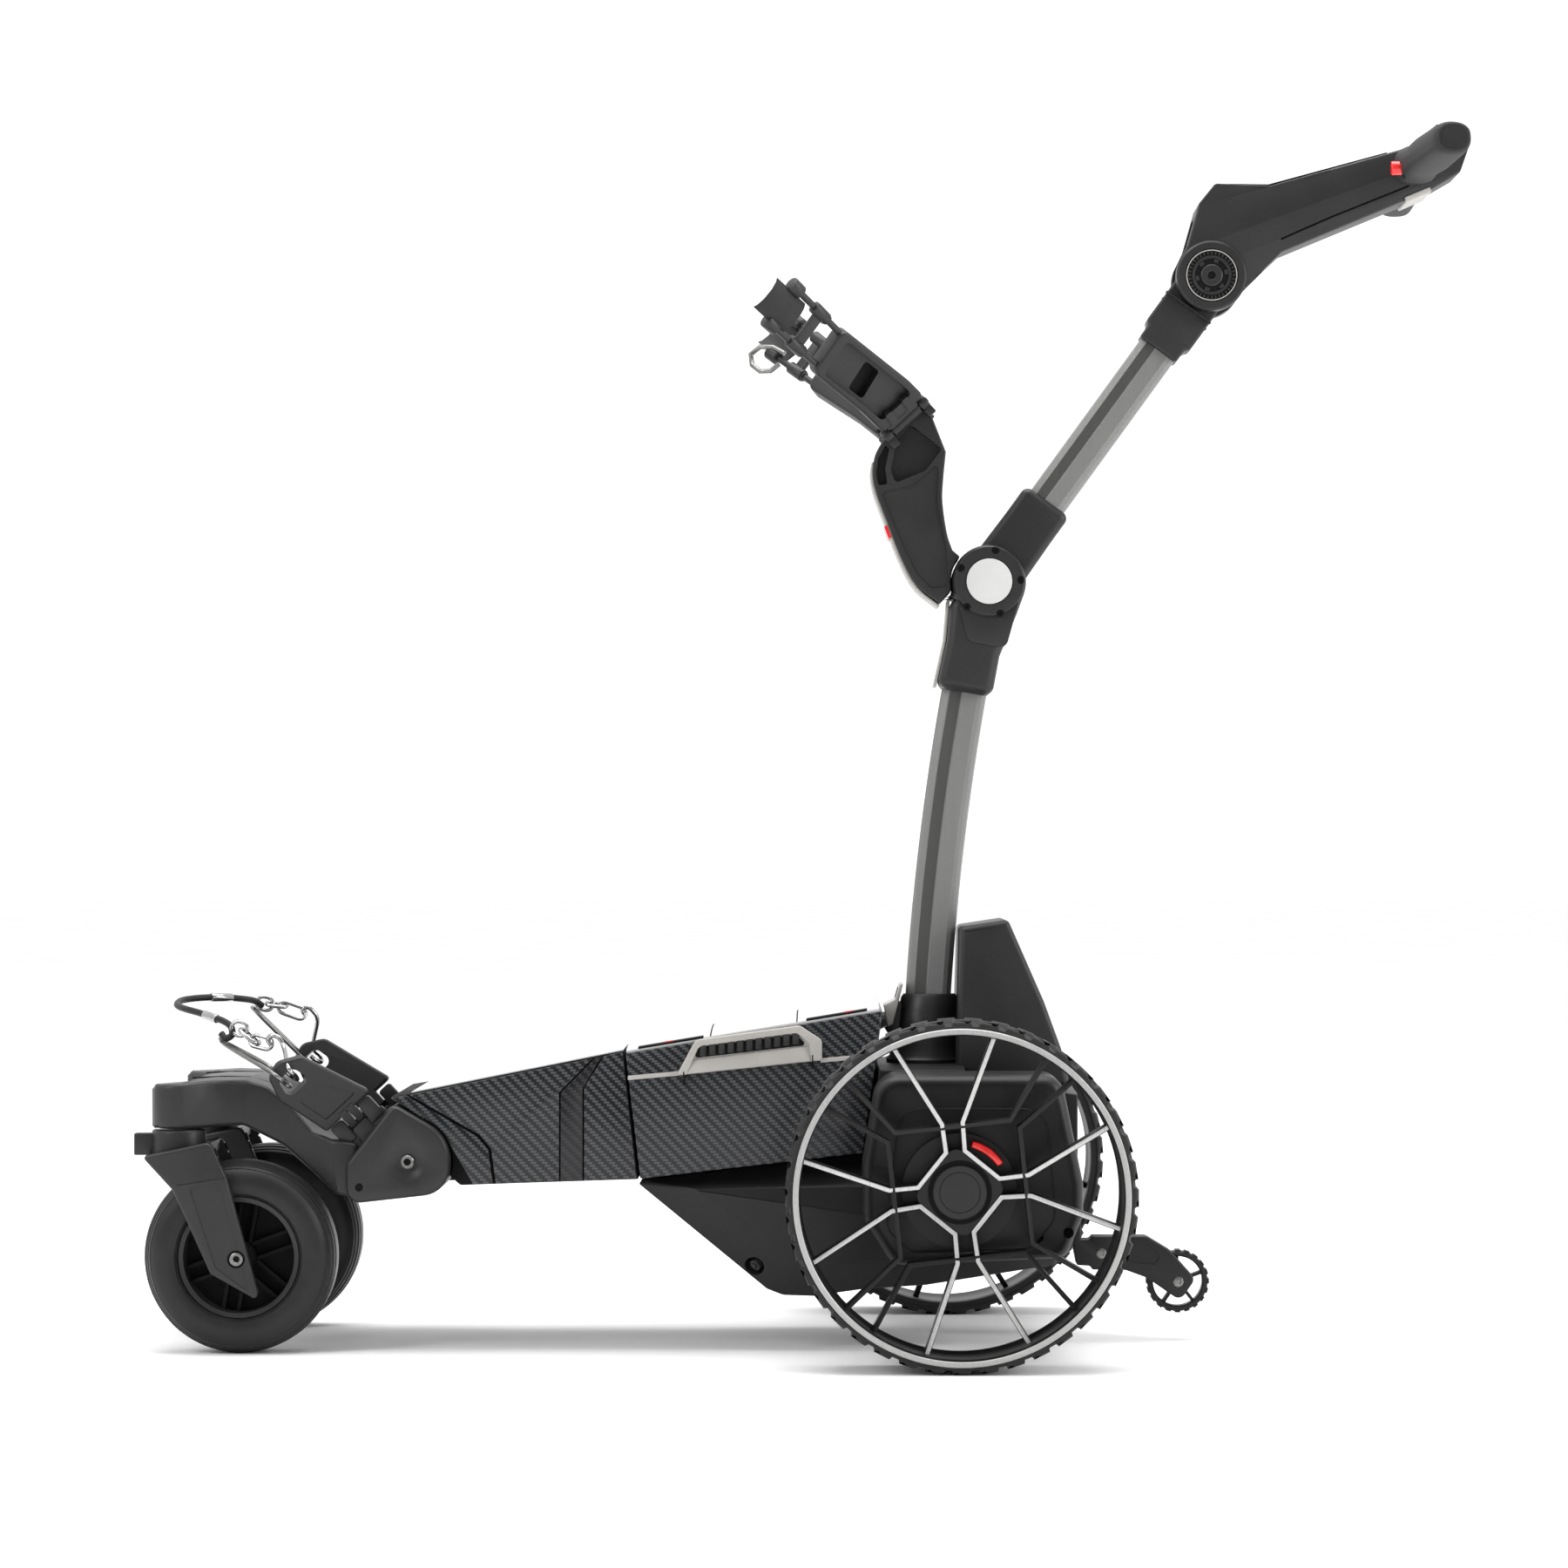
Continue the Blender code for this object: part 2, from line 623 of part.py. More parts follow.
def make_battery():
    front_top = (DECK_FRONT[0] + 1.4, DECK_FRONT[1])
    outline = [(-270.2, 148.0), (-79.0, 170.0), (DECK_REAR[0] - 0.3, deck_height(-62.3) - 2.5),
               (front_top[0], front_top[1] - 2.3)]
    case = prism("battery_case", outline, -BODY_HALF, BODY_HALF)
    hollow = prism("hollow", [(-266.6, 152.6), (-82.6, 173.8), (-65.0, 302), (-284.6, 302)],
                   -111, 111)
    place(cut(case, hollow), "battery", "carbon_shell")
    cells = prism("battery_cells", [(-262, 156), (-90, 176), (-78, 268), (-272, 238)], -100, 100)
    place(cells, "battery", "cell_wrap")
    deck = prism("battery_deck", [
        (-277.4, deck_height(-277.4) - 9), (-69.2, deck_height(-69.2) - 9),
        (-68.2, deck_height(-68.2)), (-278.4, deck_height(-278.4)),
    ], -110.6, 110.6)
    place(deck, "battery", "deck_plastic")
    frame = rounded([(-239, 239, 2), (-114.5, 252.5, 2), (-114.5, 267, 3), (-133.5, 279.5, 5),
                     (-224, 267.2, 5)])
    window = rounded([(-230, 248.5, 2), (-124, 260.5, 2), (-136, 273.4, 3), (-220, 261.8, 3)])
    bar_outline = rounded([(-228.4, 249.4, 2), (-125.8, 261.0, 2), (-136.4, 272.4, 3),
                           (-219.6, 260.9, 3)])
    for side_name, side in SIDES:
        bezel = prism(f"battery_bezel_{side_name}", frame, *across(side, BODY_HALF + GAP, 121))
        gate = prism("gate", window, *across(side, BODY_HALF - 5, 130))
        place(cut(bezel, gate), "battery", "light_grey_plastic")
        grip = prism(f"battery_grip_{side_name}", bar_outline,
                     *across(side, BODY_HALF + GAP, 122.5))
        place(grip, "battery", "grip_rubber")


def make_battery_latch():
    latch = prism("battery_latch", [(-60.4, 294), (-51, 298), (-46.6, 312), (-43.6, 312),
                                    (-48.6, 292), (-52.6, 276.5), (-57.2, 275)], -26, 26)
    place(latch, "battery_latch_body", "light_grey_plastic")


# ---- Rear wheels ----------------------------------------------------------------------


def spoke_point(angle, distance, offset):
    """A point beside an arm of the wheel: distance along the arm, offset across it."""
    radians = math.radians(angle)
    return (distance * math.cos(radians) - offset * math.sin(radians),
            distance * math.sin(radians) + offset * math.cos(radians))


def outer_rib(arm):
    """The bent rib between one arm of the star and the next."""
    following = arm + 90
    ring = RIM_RADIUS - 2
    return [
        spoke_point(arm + 18.45, ring, 0), spoke_point(arm, 58, 8.6), spoke_point(arm, 34, 7.8),
        spoke_point(following, 34, -7.8), spoke_point(following, 58, -8.6),
        spoke_point(following - 18.45, ring, 0),
    ]


def inner_rib(arm):
    """The rib behind an arm: a side of a square about the hub, with its ends on the rim."""
    ring = RIM_RADIUS - 2
    return [
        spoke_point(arm - 45 + 6.3, ring, 0), spoke_point(arm, 55, -48),
        spoke_point(arm, 55, 48), spoke_point(arm + 45 - 6.3, ring, 0),
    ]


def rib_solid(path, width, inner_y, outer_y, side, dish):
    solid = prism("rib", band(path, width), *across(side, inner_y, outer_y))

    def sink(point):
        radius = math.hypot(point.x, point.z)
        depth = dish * (1 - (min(max(radius, 34.0), 134.0) - 34.0) / 100.0)
        return Vector((point.x, point.y - side * depth, point.z))

    reshape(solid, sink)
    solid.data.transform(Matrix.Translation((0, 0, REAR_RADIUS)))
    return solid


def make_rear_wheel(side_name, side):
    body = f"wheel_{side_name}"
    inner = REAR_OUTER_FACE - REAR_WIDTH
    low, high = across(side, inner, REAR_OUTER_FACE - 1.5)
    profile = [(RIM_RADIUS + GAP, low), (REAR_RADIUS - 2.5, low), (REAR_RADIUS, low + 7),
               (REAR_RADIUS, high - 7), (REAR_RADIUS - 2.5, high), (RIM_RADIUS + GAP, high)]
    tyre = turned(f"rear_tyre_{side_name}", profile, (0, 0, REAR_RADIUS), steps=WHEEL_STEPS)
    place(tyre, body, "tyre_rubber")

    low, high = across(side, inner + 1, REAR_OUTER_FACE)
    barrel_profile = [(RIM_RADIUS - RIM_WALL, low), (RIM_RADIUS, low), (RIM_RADIUS, high),
                      (RIM_RADIUS - RIM_WALL, high)]
    rim = turned(f"rear_rim_{side_name}", barrel_profile, (0, 0, REAR_RADIUS), steps=WHEEL_STEPS)
    diamond = [spoke_point(SPOKE_TURN + 90 * quarter, 37.5, 0) for quarter in range(4)]
    hub = prism("hub", rounded([(*corner, 7) for corner in diamond], 2),
                *across(side, 206, HUB_FACE - 1))
    flange = prism("flange", arc((0, 0), 48, 0, 348.75, 31), *across(side, 205.5, 210))
    for piece in (hub, flange):
        piece.data.transform(Matrix.Translation((0, 0, REAR_RADIUS)))
    rim = union(rim, *[
        rib_solid(outer_rib(SPOKE_TURN + 90 * quarter), 4.4, 232, 256, side, 28)
        for quarter in range(4)
    ])
    rim = union(rim, *[
        rib_solid(inner_rib(SPOKE_TURN + 90 * quarter), 3.6, 226, 250, side, 26)
        for quarter in range(4)
    ])
    rim = union(rim, hub, flange)
    bore = bar("bore", (0, side * 200, REAR_RADIUS), (0, side * 222.4, REAR_RADIUS), 6.3, 16)
    place(cut(rim, bore), body, "grey_plastic")

    low, high = across(side, HUB_FACE - 1 + GAP, HUB_FACE + 2)
    cap_profile = [(0, low), (23, low), (23, high), (0, high)]
    cap = turned(f"rear_hub_cap_{side_name}", cap_profile, (0, 0, REAR_RADIUS), steps=24)
    place(cap, body, "black_plastic")
    axle = bar(f"drive_axle_{side_name}", (0, side * 186.6, REAR_RADIUS),
               (0, side * 222.1, REAR_RADIUS), 6.0, 16)
    place(axle, body, "steel")

    bow = [(u, v + REAR_RADIUS) for u, v in band(arc((0, 0), 41, 34, 76, 8), 6)]
    release = prism(f"wheel_release_{side_name}", bow, *across(side, 210 + GAP, 224))
    place(release, f"release_{side_name}", "red_plastic")


# ---- Front arm and casters ------------------------------------------------------------


def cheek_outline():
    """The D-shaped end of the front arm, round about its fold bolt."""
    return rounded([(-521, 126.6, 12), (-521, 161, 8), (-481, 213, 8), (-431.9, 184.7, 36),
                    (-431.9, 136.6, 25)])


def make_front_arm():
    side_view = [
        (-688, 192), (-660, 191), (-610, 193), (-579, 176), (-553, 154), (-531, 134.5),
        (-505, 134), (-505, 180), (-532, 180), (-548, 187), (-573, 212), (-590, 226),
        (-610, 232), (-640, 232), (-661, 230), (-684, 229), (-688, 224),
    ]
    lobe_near = arc((CASTER_X, -CASTER_Y), 23, 180, 290, 6)
    lobe_far = arc((CASTER_X, CASTER_Y), 23, 70, 180, 6)
    plan = [(-655, -60), (-668, -88)] + lobe_near + [
        (-630, -112), (-608, -96), (-575, -94), (-548, -104), (-530, -112), (-500, -112),
        (-500, 112), (-530, 112), (-548, 104), (-575, 94), (-608, 96), (-630, 112),
    ] + lobe_far + [(-668, 88), (-655, 60)]
    yoke = common(prism("front_yoke", side_view, -140, 140), prism("plan", plan, 100, 260, "xy"))
    block = prism("block", cheek_outline(), -HULL_HALF, HULL_HALF)
    yoke = union(yoke, block)
    lean = Matrix.Rotation(math.radians(-HINGE_LEAN), 3, "Y")
    along = lean @ Vector((1, 0, 0))
    bores = []
    for side_name, side in SIDES:
        hinge = Vector(mirrored(*PADDLE_HINGE, side))
        for near, far in ((-22, -8.5), (8.5, 22)):
            web = prism("web", rectangle(near, -27, far, 0.5), *across(side, 96, 104))
            web.data.transform(lean.to_4x4())
            web.data.transform(Matrix.Translation((hinge.x, 0, hinge.z)))
            lug = bar("lug", hinge + along * near, hinge + along * far, 5.5, 10)
            yoke = union(yoke, web, lug)
        bores.append(bar("bore", hinge - along * 30, hinge + along * 30, 2.9, 8))
    slot = prism("slot", rectangle(-499, 100, -400, 230), -39, 39)
    bores.append(bar("bore", (ARM_PIVOT[0], -120, ARM_PIVOT[1]),
                     (ARM_PIVOT[0], 120, ARM_PIVOT[1]), 5.3))
    place(cut(yoke, slot, *bores), "front_arm", "grey_plastic")

    for side_name, side in SIDES:
        cover = prism(f"pivot_cover_{side_name}", cheek_outline(),
                      *across(side, HULL_HALF + GAP, 124.5))
        hole = bar("hole", (ARM_PIVOT[0], side * 100, ARM_PIVOT[1]),
                   (ARM_PIVOT[0], side * 140, ARM_PIVOT[1]), 5.4)
        place(cut(soften(cover, 2), hole), "front_arm", "black_plastic")
    bolt = bar("fold_bolt", (ARM_PIVOT[0], -123.5, ARM_PIVOT[1]),
               (ARM_PIVOT[0], 123.5, ARM_PIVOT[1]), 5.0)
    place(bolt, "front_arm", "steel")


def make_paddle(side_name, side):
    outline = rounded([(-25, 7, 3), (-34, 58, 10), (-27, 80, 9), (-12, 84, 9), (6, 74, 7),
                       (26, 7, 3)])
    leaf = prism(f"cradle_paddle_{side_name}", outline, -4, 4)
    slot = prism("slot", rounded([(-26, 54, 5), (-2, 54, 5), (-6, 72, 6), (-22, 72, 6)]), -9, 9)
    barrel = bar("barrel", (-8, 0, 0), (8, 0, 0), 5.5, 12)
    web = prism("web", rectangle(-8, 0, 8, 12), -3.5, 3.5)
    pin = bar("pin", (-23, 0, 0), (23, 0, 0), 2.5, 8)
    leaf = union(cut(leaf, slot), barrel, web, pin)
    leaf.data.transform(hinge_frame(PADDLE_HINGE, side, PADDLE_SPREAD[side]))
    place(leaf, f"paddle_{side_name}", "black_plastic")


def smooth_route(knots, spacing):
    """Points at even spacing along a smooth curve through hand-set knots."""
    knots = [Vector(knot) for knot in knots]
    ends = [knots[0] * 2 - knots[1]] + knots + [knots[-1] * 2 - knots[-2]]
    fine = []
    for index in range(1, len(ends) - 2):
        a, b, c, d = ends[index - 1:index + 3]
        for step in range(24):
            t = step / 24
            fine.append(0.5 * (2 * b + (c - a) * t + (2 * a - 5 * b + 4 * c - d) * t ** 2
                               + (3 * b - a - 3 * c + d) * t ** 3))
    fine.append(knots[-1])
    route = [fine[0]]
    for point in fine:
        if (point - route[-1]).length >= spacing:
            route.append(point)
    return route


STRAP_KNOTS = [
    (-636, -84, 268), (-643, -72, 276), (-655, -58, 283), (-670, -38, 288.5), (-680, -16, 292),
    (-683, 4, 294.5), (-680, 24, 296.5), (-668, 42, 298), (-650, 56, 298), (-630, 70, 294),
    (-618, 82, 289),
]


def make_strap():
    cord = wire("bag_strap", smooth_route(STRAP_KNOTS, 8), 2.6)
    place(cord, "front_arm", "cord_rubber")
    for side_name, side in SIDES:
        frame = hinge_frame(PADDLE_HINGE, side, PADDLE_SPREAD[side])
        tip = Vector(STRAP_KNOTS[0 if side < 0 else -1]) + Vector((4, side * 2, -2))
        end = frame.inverted() @ tip
        # The link passes through the slot and round both faces of the leaf's upper edge.
        points = [frame @ Vector(place_in_leaf) for place_in_leaf in (
            (-14, 0, 61.5), (-14, 7, 63), (-14.5, 9, 68), (-15.5, 9, 84),
            (end.x, end.y + 4, end.z - 5), (end.x, end.y, end.z),
            (end.x, end.y - 4, end.z - 5), (-15.5, -9, 84), (-14.5, -9, 68), (-14, -7, 63))]
        link = wire(f"strap_link_{side_name}", points, 2.0, closed=True, resolution=1)
        place(link, f"paddle_{side_name}", "bright_wire")


def make_caster(side_name, side):
    middle = side * CASTER_Y
    axle_x = CASTER_X + CASTER_TRAIL
    leg = rounded([(-691, 169), (-633, 181.7, 6), (-619.6, 151.5), (-592.6, 54, 4),
                   (-594.6, 48.3, 4), (-633, 70, 4), (-665, 140.7)], 3)
    legs = [
        prism("leg", leg, middle - 42, middle - 33),
        prism("leg", leg, middle + 33, middle + 42),
    ]
    crown = prism("crown", [(-689, 166.4), (-640, 166.4), (-633.5, 168), (-633.5, 181),
                            (-689, 169.4)], middle - 37, middle + 37)
    ring = bar("ring", (CASTER_X, middle, 170), (CASTER_X, middle, 190.2), 23.4, 24)
    tab = prism("tab", rectangle(-703, 168, -683, 187), middle - 9, middle + 9)
    axle = bar("axle", (axle_x, middle - 40, CASTER_RADIUS), (axle_x, middle + 40, CASTER_RADIUS),
               4.0)
    crown.name = f"caster_fork_{side_name}"
    fork = union(crown, *legs, ring, tab, axle)
    place(fork, f"caster_{side_name}", "grey_plastic")

    wheel = f"front_wheel_{side_name}"
    half = CASTER_TYRE_HALF
    profile = [(52, -half + 4), (60, -half), (72, -half + 2), (CASTER_RADIUS, -15),
               (CASTER_RADIUS, 15), (72, half - 2), (60, half), (52, half - 4)]
    hub_place = (axle_x, middle, CASTER_RADIUS)
    tyre = turned(f"front_tyre_{side_name}", profile, hub_place, steps=36)
    place(tyre, wheel, "tyre_rubber")
    ring_profile = [(46.5, -20), (51.6, -22), (51.6, 22), (46.5, 20)]
    rim = turned(f"front_rim_{side_name}", ring_profile, hub_place, steps=32)
    hub = turned("hub", [(4.4, -25), (13, -25), (13, 25), (4.4, 25)], hub_place, steps=16)
    spokes = []
    for index in range(3):
        angle = 60 * index + 20
        strip = prism("spoke", band([spoke_point(angle, 49, 0), spoke_point(angle + 180, 49, 0)],
                                    7), middle - 12, middle + 12)
        strip.data.transform(Matrix.Translation((axle_x, 0, CASTER_RADIUS)))
        spokes.append(strip)
    rim = union(rim, *spokes, hub)
    bore = bar("bore", (axle_x, middle - 40, CASTER_RADIUS), (axle_x, middle + 40, CASTER_RADIUS),
               4.4, 16)
    place(cut(rim, bore), wheel, "black_plastic")


# ---- Upper mast and handle ------------------------------------------------------------


def upper_bar(name, start, end, grow):
    """A straight length of the upper tube's section along the mast."""
    half, half_y, radius = UPPER_SECTION
    section = rectangle(-half - grow, -half_y - grow, half + grow, half_y + grow,
                        radius + grow, 2)
    rings = []
    for distance in (start, end):
        ring = []
        for u, v in section:
            x, z = around(MAST_PIVOT, MAST_TILT, [(distance, u)])[0]
            ring.append((x, v, z))
        rings.append(ring)
    return loft(name, rings)


def make_upper_mast():
    knuckle = arc((0, 0), 31, 52, 308, 14)
    outline = around(MAST_PIVOT, MAST_TILT, knuckle + [(88.6, -23.6), (88.6, 23.6)])
    sleeve = soften(prism("upper_sleeve", outline, -20.4, 20.4), 3)
    bore = bar("bore", (MAST_PIVOT[0], -40, MAST_PIVOT[1]), (MAST_PIVOT[0], 40, MAST_PIVOT[1]), 6.4)
    sleeve = cut(sleeve, upper_bar("socket", 48 - GAP, 120, 0.4), bore)
    place(sleeve, "upper_mast", "grey_plastic")
    tube = cut(upper_bar("upper_mast_tube", 48, 282, 0), upper_bar("hollow", 40, 300, -2.4))
    place(tube, "upper_mast", "mast_paint")

    top = around(MAST_PIVOT, MAST_TILT,
                 [(252, -19.5), (266, -19.5), (268, -23.2), (322, -23.2)]
                 + arc((KNOB_DISTANCE, 0), 29, -54, 54, 8)
                 + [(322, 23.2), (268, 23.2), (266, 19.5), (252, 19.5)])
    sleeve = prism("handle_sleeve", top, -20.4, 20.4)
    knob = around(MAST_PIVOT, MAST_TILT, [(KNOB_DISTANCE, 0)])[0]
    bore = bar("bore", (knob[0], -40, knob[1]), (knob[0], 40, knob[1]), 9.4, 24)
    sleeve = cut(sleeve, upper_bar("socket", 200, 282 + GAP, 0.4), bore)
    place(sleeve, "upper_mast", "grey_plastic")


def make_handle():
    knob = around(MAST_PIVOT, MAST_TILT, [(KNOB_DISTANCE, 0)])[0]
    boss = arc(knob, 30.5, 150, 292, 12)
    outline = [
        (269, 933.9), (287.9, 951.6), (417, 1005.3), (443.5, 1020.4), (450, 1041),
        (451.5, 1054), (440, 1056.8), (388.2, 1040.7), (277.2, 1010.1), (228.5, 1011.3),
        (214.4, 993.9), (204, 957),
    ]
    body = soften(prism("handle_body", boss + outline, -36, 36), 3)
    slot = prism("slot", around(knob, MAST_TILT, [(-60, -60), (36, -60), (36, 60), (-60, 60)]),
                 -21, 21)
    bore = bar("bore", (knob[0], -60, knob[1]), (knob[0], 60, knob[1]), 9.4, 24)
    place(cut(body, slot, bore), "handle", "grey_plastic")
    profile = [(0, -35.0), (9, -35.0), (9, 35.0), (0, 35.0)]
    bolt = turned("tilt_bolt", profile, (knob[0], 0, knob[1]), steps=24)
    place(bolt, "handle", "steel")
    for side_name, side in SIDES:
        def ring(distance, grow):
            swept = 403 + 11 * (distance - 36) / 170
            return [(swept + (16 + grow) * u, side * distance, GRIP_Z + (15 + grow) * v)
                    for u, v in arc((0, 0), 1, 0, 345, 23)]

        grip = loft(f"handle_grip_{side_name}", [
            ring(36 + GAP, 2), ring(60, 0), ring(110, 1.5), ring(170, 0), ring(200, 0.5),
            ring(206, -4),
        ])
        if side < 0:
            hole = bar("hole", (375, -54, GRIP_Z), (397, -54, GRIP_Z), 6.4)
            grip = cut(grip, hole)
        place(grip, "handle", "grip_rubber")
    button = bar("drive_trigger", (379, -54, GRIP_Z), (392, -54, GRIP_Z), 6.0)
    place(button, "drive_button", "red_plastic")


def build():
    clear_scene()
    make_materials()
    make_pivots()
    make_hull()
    make_front_shell()
    make_rear_cowl()
    make_lower_mast()
    make_mast_joint()
    make_bag_bracket()
    make_anti_tip()
    make_battery()
    make_battery_latch()
    make_front_arm()
    make_strap()
    make_upper_mast()
    make_handle()
    for side_name, side in SIDES:
        make_drive(side_name, side)
        make_rear_wheel(side_name, side)
        make_cradle_arm(side_name, side)
        make_paddle(side_name, side)
        make_caster(side_name, side)


build()
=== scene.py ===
# %% [markdown]
# # An electric golf trolley
# A walking golfer's powered trolley: two driven rear wheels, a pair of swivelling front
# casters, a battery that lifts out of the body, a folding mast with a T-shaped handle, and
# two cradles with an elastic strap that hold the golf bag. The moving frame is already
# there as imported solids. This lesson dresses each solid with the shape, the small parts and
# the finish that the eye expects, and leaves every joint free to move.

# %% Load the moving frame
import math

import bmesh
import bpy
from mathutils import Matrix, Vector


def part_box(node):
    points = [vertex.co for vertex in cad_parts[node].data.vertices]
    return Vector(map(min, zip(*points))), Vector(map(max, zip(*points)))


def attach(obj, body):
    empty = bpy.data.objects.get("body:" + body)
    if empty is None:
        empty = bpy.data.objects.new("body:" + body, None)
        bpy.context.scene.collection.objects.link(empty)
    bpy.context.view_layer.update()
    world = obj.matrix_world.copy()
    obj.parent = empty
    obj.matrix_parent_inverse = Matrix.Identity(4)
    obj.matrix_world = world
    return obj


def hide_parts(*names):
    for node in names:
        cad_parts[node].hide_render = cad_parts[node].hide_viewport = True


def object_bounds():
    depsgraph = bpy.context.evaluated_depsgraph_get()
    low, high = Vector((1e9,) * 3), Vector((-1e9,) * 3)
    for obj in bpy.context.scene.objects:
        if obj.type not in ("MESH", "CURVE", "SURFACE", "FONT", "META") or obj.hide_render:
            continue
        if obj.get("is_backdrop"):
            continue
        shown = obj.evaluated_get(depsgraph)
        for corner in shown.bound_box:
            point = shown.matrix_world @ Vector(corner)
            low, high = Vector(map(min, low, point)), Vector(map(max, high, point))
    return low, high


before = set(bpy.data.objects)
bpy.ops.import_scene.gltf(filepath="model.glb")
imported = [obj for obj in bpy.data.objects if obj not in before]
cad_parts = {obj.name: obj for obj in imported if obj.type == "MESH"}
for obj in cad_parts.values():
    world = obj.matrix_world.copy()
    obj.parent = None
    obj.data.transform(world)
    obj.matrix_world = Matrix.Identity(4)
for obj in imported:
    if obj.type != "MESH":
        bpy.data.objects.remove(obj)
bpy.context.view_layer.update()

# %% [markdown]
# ## The bench
# A builder measures a trolley from the ground under the rear axle, in millimetres. All the
# shapes below are drawn that way, and one matrix carries a finished shape into the frame.

# %% Millimetres from the ground under the rear axle
hub_low, hub_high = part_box("rear_hub_cap_left")
AXLE_X = (hub_low.x + hub_high.x) / 2
TO_FRAME = Matrix.Translation((AXLE_X, 0, 0)) @ Matrix.Scale(0.001, 4)
SIDES = (("left", -1), ("right", 1))
print("the rear axle stands at x =", round(AXLE_X, 4))


# %% Outlines: arcs, rounded corners and strips
def arc(centre, radius, start, end, steps):
    """Points on a circle, from one angle to another in degrees."""
    turns = [math.radians(start + (end - start) * step / steps) for step in range(steps + 1)]
    return [(centre[0] + radius * math.cos(t), centre[1] + radius * math.sin(t)) for t in turns]


def rounded(corners, radius=0.0, steps=5):
    """The outline with each corner (x, z) or (x, z, its own radius) rounded off."""
    points = []
    for index, corner in enumerate(corners):
        here = Vector(corner[:2])
        before = Vector(corners[index - 1][:2]) - here
        after = Vector(corners[(index + 1) % len(corners)][:2]) - here
        size = corner[2] if len(corner) > 2 else radius
        bend = before.angle(after)
        if size <= 0 or bend > math.radians(172):
            points.append(tuple(here))
            continue
        back = min(size / math.tan(bend / 2), before.length * 0.48, after.length * 0.48)
        size = back * math.tan(bend / 2)
        middle = here + (before.normalized() + after.normalized()).normalized() * (
            size / math.sin(bend / 2))
        first = here + before.normalized() * back - middle
        turn = math.pi - bend
        if before.cross(after) > 0:
            turn = -turn
        for step in range(steps + 1):
            spin = Matrix.Rotation(turn * step / steps, 2)
            points.append(tuple(middle + spin @ first))
    return points


def band(path, width):
    """The outline of a strip of even width along an open path."""
    ways = [(Vector(b) - Vector(a)).normalized() for a, b in zip(path, path[1:])]
    left, right = [], []
    for index, point in enumerate(path):
        before = ways[max(0, index - 1)]
        after = ways[min(index, len(ways) - 1)]
        along = (before + after).normalized()
        across = Vector((-along.y, along.x)) * (width / 2 / max(0.3, along.dot(before)))
        left.append(tuple(Vector(point) + across))
        right.append(tuple(Vector(point) - across))
    return left + right[::-1]


def around(pivot, angle, points):
    """Points (along, across) laid out from a pivot, at an angle above the x axis."""
    c, s = math.cos(math.radians(angle)), math.sin(math.radians(angle))
    return [(pivot[0] + u * c - v * s, pivot[1] + u * s + v * c) for u, v in points]


print("rounded square has", len(rounded([(0, 0), (10, 0), (10, 10), (0, 10)], 2)), "points")


# %% Solids: slabs, rods and turned shapes
PLANES = {
    "xz": lambda u, v, w: (u, w, v),
    "xy": lambda u, v, w: (u, v, w),
    "yz": lambda u, v, w: (w, u, v),
}


def slab(bm, outline, low, high, plane="xz"):
    """An outline drawn on a plane and extruded along that plane's normal; gives its corners."""
    seat = PLANES[plane]
    face = bm.faces.new([bm.verts.new(seat(u, v, low)) for u, v in outline])
    first = list(face.verts)
    grown = bmesh.ops.extrude_face_region(bm, geom=[face])["geom"]
    last = [item for item in grown if isinstance(item, bmesh.types.BMVert)]
    bmesh.ops.translate(bm, verts=last, vec=seat(0, 0, high - low))
    return first + last


def rod(bm, start, end, radius, sides=24, end_radius=None):
    """A round bar between two points; a second radius makes it a cone."""
    start, end = Vector(start), Vector(end)
    turn = (end - start).to_track_quat("Z", "Y").to_matrix().to_4x4()
    place = Matrix.Translation((start + end) / 2) @ turn
    made = bmesh.ops.create_cone(
        bm, cap_ends=True, segments=sides, radius1=radius,
        radius2=radius if end_radius is None else end_radius,
        depth=(end - start).length, matrix=place)
    return made["verts"]


def turned(bm, profile, centre, axis=(0, 1, 0), steps=64):
    """A closed profile of (radius, along) turned on a lathe about an axis through centre."""
    axis = Vector(axis).normalized()
    out = axis.orthogonal().normalized()
    middle = Vector(centre)
    ring = [bm.verts.new(middle + out * r + axis * w) for r, w in profile]
    edges = [bm.edges.new((a, b)) for a, b in zip(ring, ring[1:] + ring[:1])
             if (a.co - b.co).length > 1e-6]
    if profile[0][0] < 1e-6 and profile[-1][0] < 1e-6:
        bm.edges.remove(edges.pop())
    bmesh.ops.spin(bm, geom=ring + edges, cent=middle, axis=axis, angle=math.tau,
                   steps=steps, use_merge=True)
    bmesh.ops.remove_doubles(bm, verts=bm.verts, dist=1e-4)


def skin_over(bm, loops, closed=False):
    """A skin stretched over loops of corners in turn, and capped unless it closes."""
    rings = []
    for loop in loops:
        ring = [bm.verts.new(corner) for corner in loop]
        rings.append([bm.edges.new(pair) for pair in zip(ring, ring[1:] + ring[:1])])
    for low, high in zip(rings, rings[1:] + (rings[:1] if closed else [])):
        bmesh.ops.bridge_loops(bm, edges=low + high)
    if not closed:
        for ring in (rings[0], rings[-1]):
            bmesh.ops.contextual_create(bm, geom=ring)


def soften(bm, width, segments=3, sharp=28, choose=None):
    """Bevels the sharp edges, or the sharp ones that a test chooses."""
    bm.normal_update()
    picked = [edge for edge in bm.edges
              if len(edge.link_faces) == 2 and edge.calc_face_angle(0) > math.radians(sharp)
              and (choose is None or choose(edge))]
    bmesh.ops.bevel(bm, geom=picked, offset=width, offset_type="OFFSET", segments=segments,
                    profile=0.5, affect="EDGES", clamp_overlap=False, material=-1)


